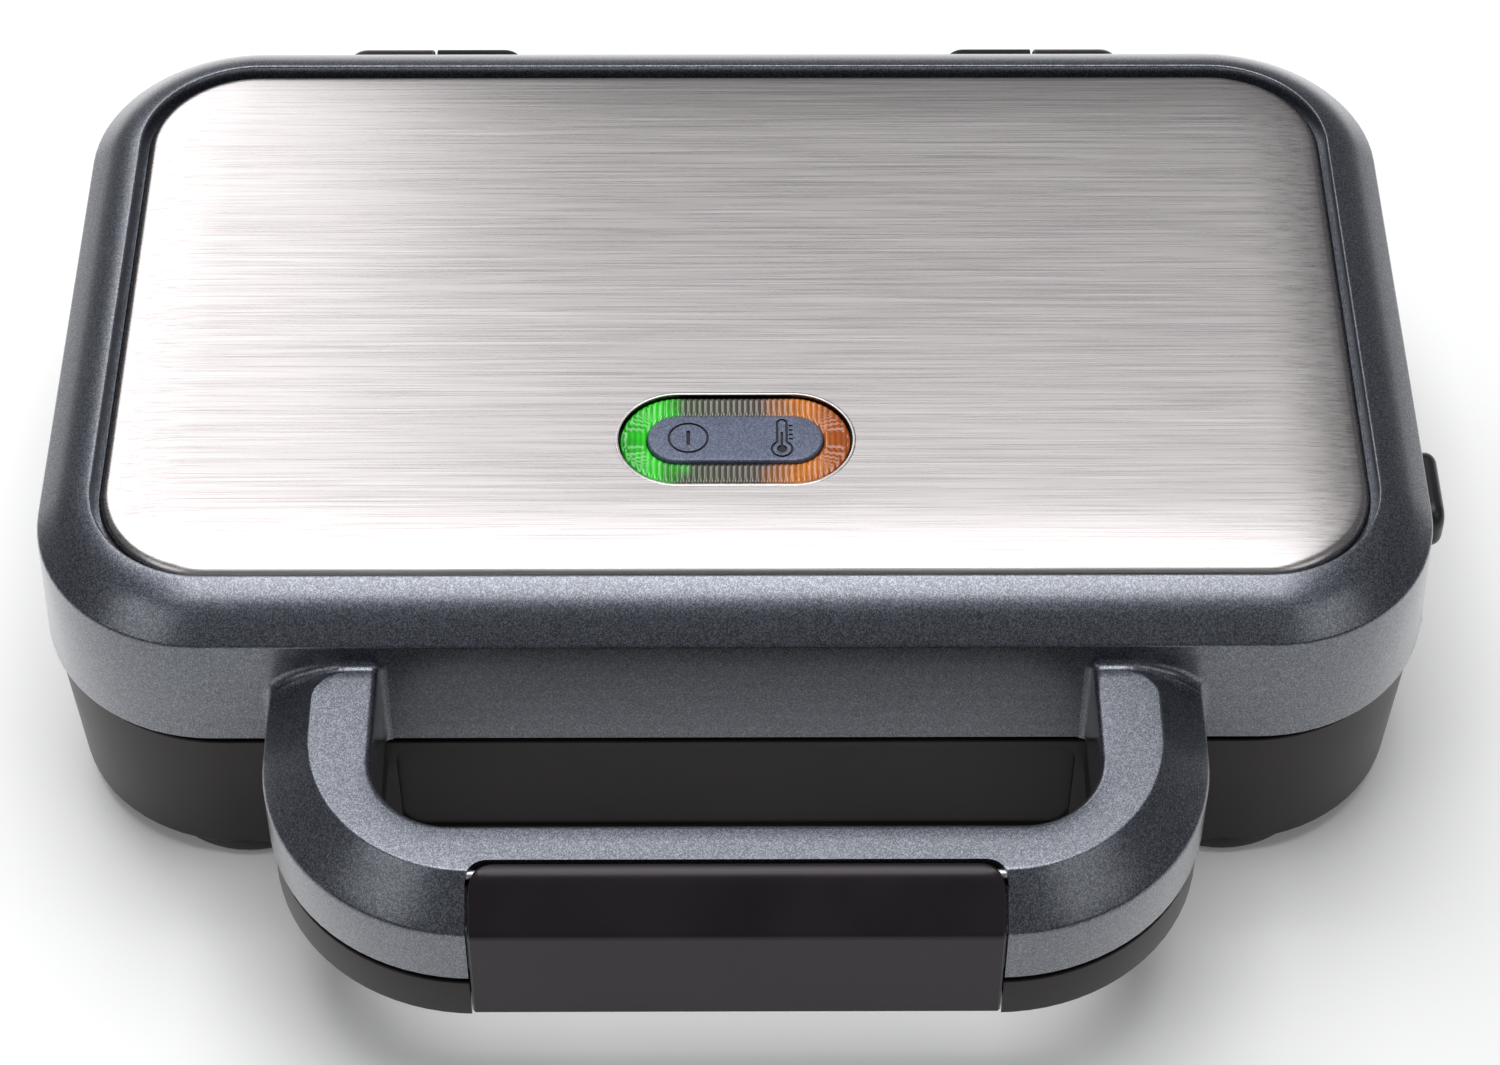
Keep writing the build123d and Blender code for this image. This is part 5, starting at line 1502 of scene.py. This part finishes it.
@dataclass
class LowerHandle(HandleHalf):
    """Lower half of the front handle, with the ledge that the latch hooks under."""

    sweep: HandleSweep = LOWER_SWEEP
    bottom_z: float = 30.0
    top_z: float = 40.9
    fillets: Point2 = (0.8, 0.4)
    outer_reach: float = 6.5
    inner_reach: float = 4.0
    ledge_front: float = -118.95
    ledge_rear: float = -115.15
    ledge_z: float = 35.0
    wall_y: float = -61.05
    root_depth: float = 0.8
    middle_x: float = -25.0

    def outer_profile(self, brow: float = 0.0) -> Outline:
        """Inset from the outer rail and height, from the bottom up to the parting face."""
        return self.side_profile(self.outer_reach, self.bottom_z, self.top_z, self.fillets)

    def inner_profile(self) -> Outline:
        """Inset from the inner rail and height, from the parting face down to the bottom."""
        return self.side_profile(self.inner_reach, self.top_z, self.bottom_z, self.fillets[::-1])

    def side_profile(self, reach: float, start_z: float, end_z: float, fillets: Point2) -> Outline:
        """A side wall between two heights, with a flat of one reach at each end."""
        points = [(reach, start_z), (0.0, start_z), (0.0, end_z), (reach, end_z)]
        return filleted(points, [0.0, *fillets, 0.0], 6)

    def recess_section(self, x: float) -> Loop:
        """The section behind the latch, with as many points as the full one.

        Args:
            x: The place in X.

        Returns:
            The points.
        """
        run = [(self.ledge_rear, self.bottom_z), (self.ledge_rear, self.ledge_z)]
        left = len(self.outer_profile()) - len(run) - 2
        shares = [step / left for step in range(left + 1)]
        run += [(self.ledge_front, self.ledge_z + (self.top_z - self.ledge_z) * share) for share in shares]
        run.append((self.sweep.front_y + self.outer_reach, self.top_z))
        return [(x, y, z) for y, z in run] + self.inner_run(x)

    def build(self) -> Piece:
        """Makes the closed handle.

        Returns:
            The handle.
        """
        stations = self.sweep.rails()
        root = [(x, self.wall_y + self.root_depth, z) for x, _, z in self.section(stations[0])]
        half = [root] + [self.section(station) for station in stations]
        half += [self.recess_section(x) for x in (-self.sweep.latch_half, self.middle_x)]
        return lofted("lower_handle", both_sides(half, self.recess_section(0.0)), CASING_CREASE)


@dataclass
class HingeTower:
    """Tower behind the base that carries one outer hinge knuckle."""

    side: float
    start: float = 68.2
    straight: float = 15.3
    length: float = 19.9
    end_fillet: float = 4.6
    axis: Point2 = (116.257, HINGE_AXIS_Z)
    radius: float = 5.5
    edge: float = 0.35
    middle: Point2 = (115.0, 35.0)
    below: tuple[Point2, ...] = (
        (112.0, 40.9), (107.25, 40.9), (107.25, 12.5), (108.55, 12.5), (121.757, 20.5)
    )

    def tower(self) -> Piece:
        """Makes the tower.

        Returns:
            The tower.
        """
        outline = [*arc(self.axis, self.radius, 0.0, 180.0, 16), *self.below]
        corners = [Vector(corner) for corner in outline]
        insides = [(Vector(self.middle) - corner).normalized() * self.edge for corner in corners]
        loops = []
        far_edge = self.straight - self.edge
        for along, share in ((0.0, 1.0), (self.edge, 0.0), (far_edge, 0.0), (self.straight, 1.0)):
            x = self.side * (self.start + along)
            loops.append([(x, *(corner + inside * share)) for corner, inside in zip(corners, insides)])
        return lofted("hinge_tower", loops, SMALL_PART_CREASE)

    def knuckle(self) -> Piece:
        """Makes the knuckle, with its rounded outer end.

        Returns:
            The knuckle.
        """
        hub = (self.radius - self.end_fillet, self.length - self.end_fillet)
        profile = [(self.radius - self.edge, 0.0), (self.radius, self.edge)]
        profile += arc(hub, self.end_fillet, 0.0, 90.0, 8)
        rings = []
        for radius, along in profile:
            x = self.side * (self.start + along)
            rings.append([(x, y, z) for y, z in circle(self.axis, radius, 40)])
        return lofted("knuckle", rings, SMALL_PART_CREASE)

    def build(self) -> list[Piece]:
        """Makes the tower and its knuckle."""
        return [self.tower(), self.knuckle()]


@dataclass
class BaseShell:
    """Dark tub with its sunk front panel, moulded feet, floor vents and hinge towers."""

    finishes: FinishBook
    half_width: float = 138.8
    half_depth: float = 84.8
    radius: float = 36.0
    foot_z: float = 4.5
    rim_z: float = 40.9
    flare: float = 1.9
    wall: float = 2.6
    floor_z: float = 7.1
    bottom_inset: float = 8.0
    bottom_fillet: float = 1.0
    rim_fillet: float = 0.4
    panel_half: float = 68.5
    panel_span: Point2 = (10.4, 39.4)
    panel_radius: float = 5.0
    panel_depth: float = 0.4
    foot_span: Point2 = (101.5, 64.5)
    foot_profile: tuple[Point2, ...] = (
        (14.2, 5.2), (14.2, 2.5), (14.2, 1.6), (19.6, 1.6), (20.15, 1.85), (20.4, 2.4), (20.4, 5.2)
    )
    gland_hole: Point2 = (6.1, 100.0)
    gland_seat: Point2 = (8.3, 108.94)
    gland_z: float = 20.0
    vent_size: Point2 = (34.0, 3.0)
    vent_middle_x: float = 61.5
    vent_pitch: float = 9.0
    vents_a_side: int = 6
    button_z: float = 31.0
    before: float = 4.0
    through: float = 12.0
    vent_span: Point2 = (3.0, 9.0)
    segments: Segments = (18, 16, 10)

    def ring(self, inset: float, z: float) -> Loop:
        """One level outline of the tub."""
        sizes = [size - inset for size in (self.half_width, self.half_depth, self.radius)]
        return level(rounded_rectangle(*sizes, *self.segments), z)

    def tub(self) -> Piece:
        """Makes the open tub.

        Returns:
            The tub.
        """
        points = [(self.bottom_inset, self.foot_z), (0.0, self.foot_z)]
        points += [(-self.flare, self.rim_z), (self.wall, self.rim_z)]
        profile = filleted(points, [0.0, self.bottom_fillet, self.rim_fillet, 0.0], 6)
        loops = [self.ring(inset, z) for inset, z in (*profile, (self.wall, self.floor_z))]
        return lofted("base_tub", loops, CASING_CREASE)

    def feet(self) -> list[Piece]:
        """Makes the moulded rings round the rubber pads.

        Returns:
            The four rings.
        """
        made = []
        for x in (-self.foot_span[0], self.foot_span[0]):
            for y in (-self.foot_span[1], self.foot_span[1]):
                rings = [level(circle((x, y), radius, 56), z) for radius, z in self.foot_profile]
                made.append(lofted("moulded_foot", rings, SMALL_PART_CREASE, looped=True))
        return made

    def cutters(self) -> list[Piece]:
        """Makes what is cut out of the tub: front panel, button window, gland seat and vents.

        Returns:
            The cutters.
        """
        low, high = self.panel_span
        outline = rounded_rectangle(self.panel_half, (high - low) / 2, self.panel_radius, 8, 4, 3)
        start = (0.0, CASING_CENTRE_Y - self.half_depth - self.before, (low + high) / 2)
        depth = self.before + self.panel_depth
        made = [straight_cutter("panel", outline, start, Axis.Y, depth), ButtonWindow(self.button_z).build()]
        for radius, y in (self.gland_hole, self.gland_seat):
            outline = circle((0.0, 0.0), radius, 40)
            made.append(straight_cutter("gland", outline, (0.0, y, self.gland_z), Axis.Y, self.through))
        vents = []
        vent_z, vent_end = self.vent_span
        outline = [(v, u) for u, v in stadium(*self.vent_size, 6, 2)]
        for middle_x in (-self.vent_middle_x, self.vent_middle_x):
            for index in range(self.vents_a_side):
                x = middle_x + self.vent_pitch * (index - (self.vents_a_side - 1) / 2)
                start = (x, CASING_CENTRE_Y, vent_z)
                vents.append(straight_cutter("vent", outline, start, Axis.Z, vent_end - vent_z))
        return [*made, joined("vents", vents, FLOOR_CREASE)]

    def build(self) -> Piece:
        """Makes and dresses the base casing.

        Returns:
            The casing.
        """
        tub = self.tub()
        for cutter in self.cutters():
            cut(tub, cutter, CASING_CREASE)
        parts = [tub, *self.feet(), LowerHandle().build()]
        for side in (-1.0, 1.0):
            parts += HingeTower(side).build()
        casing = joined("base_casing_shell", parts, CASING_CREASE)
        self.finishes.dress(casing, Slot.CASING.value)
        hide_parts("base_casing")
        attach(casing, Body.BASE.value)
        return casing


# Carried-over parts


class InnerParts:
    """Parts that show as they were machined, moulded or pressed, with their finishes."""

    def __init__(self, finishes: FinishBook, nodes: dict[str, Piece]) -> None:
        """Keeps the finishes and the nodes.

        Args:
            finishes: The finishes to hand out.
            nodes: The frame's objects by name.
        """
        self.finishes = finishes
        self.nodes = nodes

    def build(self) -> int:
        """Puts each node's own finish into its slots.

        Returns:
            How many slots were dressed.
        """
        dressed = 0
        for name, node in self.nodes.items():
            for slot in node.material_slots:
                wanted = slot.material.name.split(".")[0] if slot.material else ""
                match = [made for key, made in self.finishes.materials.items() if wanted.endswith(key)]
                if match:
                    slot.material = match[0]
                    dressed += 1
                else:
                    LOG.warning("no finish for %s of %s", wanted, name)
        return dressed


# Studio


@dataclass(frozen=True)
class Softbox:
    """One area light, aimed at a point; places and sizes are in metres."""

    name: str
    place: Point3
    aim: Point3
    size: Point2
    power: float

    def build(self) -> Piece:
        """Makes the light.

        Returns:
            The light.
        """
        light = bpy.data.lights.new(self.name, "AREA")
        light.shape = "RECTANGLE"
        light.size, light.size_y = self.size
        light.energy = self.power
        lamp = bpy.data.objects.new(self.name, light)
        lamp.location = Vector(self.place)
        lamp.rotation_euler = (Vector(self.aim) - Vector(self.place)).to_track_quat("-Z", "Y").to_euler()
        bpy.context.scene.collection.objects.link(lamp)
        return lamp


TOASTER_MIDDLE = (0.0, 0.0, 0.05)
SOFTBOXES = (
    Softbox("rear_softbox", (-0.24, 0.60, 1.45), (-0.24, 0.0, 0.05), (1.44, 0.70), 9.5),
    Softbox("rear_left_softbox", (-0.58, 1.15, 0.92), TOASTER_MIDDLE, (0.78, 0.58), 4.1),
    Softbox("top_softbox", (0.0, 0.0, 1.85), TOASTER_MIDDLE, (1.20, 1.00), 17.0),
    Softbox("front_left_softbox", (-0.89, -0.70, 1.03), TOASTER_MIDDLE, (0.70, 0.50), 1.7),
    Softbox("front_right_softbox", (0.89, -0.70, 1.03), TOASTER_MIDDLE, (0.70, 0.50), 1.4),
)


@dataclass
class Studio:
    """Pale floor, soft lights, grey surroundings and the camera."""

    finishes: FinishBook
    floor_reach: float = 6000.0
    surroundings: Point3 = (0.9, 0.92, 0.95)
    surroundings_strength: float = 0.17
    aim: Point3 = (2.88, -32.75, 70.0)
    distance: float = 754.43
    azimuth: float = -0.47
    elevation: float = 48.95
    roll: float = 0.25
    lens: float = 90.59

    def floor(self) -> Piece:
        """Makes the floor.

        Returns:
            The floor.
        """
        near, far = -self.floor_reach, self.floor_reach
        corners = [(near, near, 0.0), (far, near, 0.0), (far, far, 0.0), (near, far, 0.0)]
        floor = meshed("studio_floor", corners, [(0, 1, 2, 3)], FLOOR_CREASE)
        self.finishes.dress(floor, "pale_sweep")
        return floor

    def lights(self) -> None:
        """Makes the lights and the surroundings."""
        for box in SOFTBOXES:
            box.build()
        world = bpy.data.worlds.new("surroundings")
        bpy.context.scene.world = world
        world.use_nodes = True
        background = world.node_tree.nodes["Background"]
        background.inputs["Color"].default_value = (*self.surroundings, 1.0)
        background.inputs["Strength"].default_value = self.surroundings_strength

    def camera(self) -> None:
        """Makes the camera."""
        turns = ((self.azimuth, "Z"), (90.0 - self.elevation, "X"), (self.roll, "Z"))
        swing, tip, roll = (Matrix.Rotation(math.radians(angle), 4, axis) for angle, axis in turns)
        back = Matrix.Translation((0.0, 0.0, self.distance * MM))
        data = bpy.data.cameras.new("camera")
        data.lens = self.lens
        data.sensor_width = 36.0
        data.clip_start = 0.01
        data.clip_end = 50.0
        camera = bpy.data.objects.new("camera", data)
        camera.matrix_world = Matrix.Translation(Vector(self.aim) * MM) @ swing @ tip @ roll @ back
        bpy.context.scene.collection.objects.link(camera)
        bpy.context.scene.camera = camera

    def build(self) -> None:
        """Makes the whole studio."""
        self.floor()
        self.lights()
        self.camera()
        bpy.context.scene.view_settings.view_transform = "Standard"


def main() -> None:
    """Builds the toaster's looks, piece by piece, and its stage."""
    logging.basicConfig(level=logging.INFO, format="%(name)s: %(message)s")
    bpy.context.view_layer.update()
    finishes = FinishBook()
    LOG.info("dressed %d slots of the carried-over parts", InnerParts(finishes, frame["nodes"]).build())
    pieces = [LidShell(finishes).build(), TopPlate(finishes).build(), *Indicator(finishes).build()]
    pieces += [Latch(finishes).build(), BaseShell(finishes).build()]
    for piece in pieces:
        LOG.info("%s: %d faces", piece.name, len(piece.data.polygons))
    Studio(finishes).build()


if __name__ == "__main__":
    main()
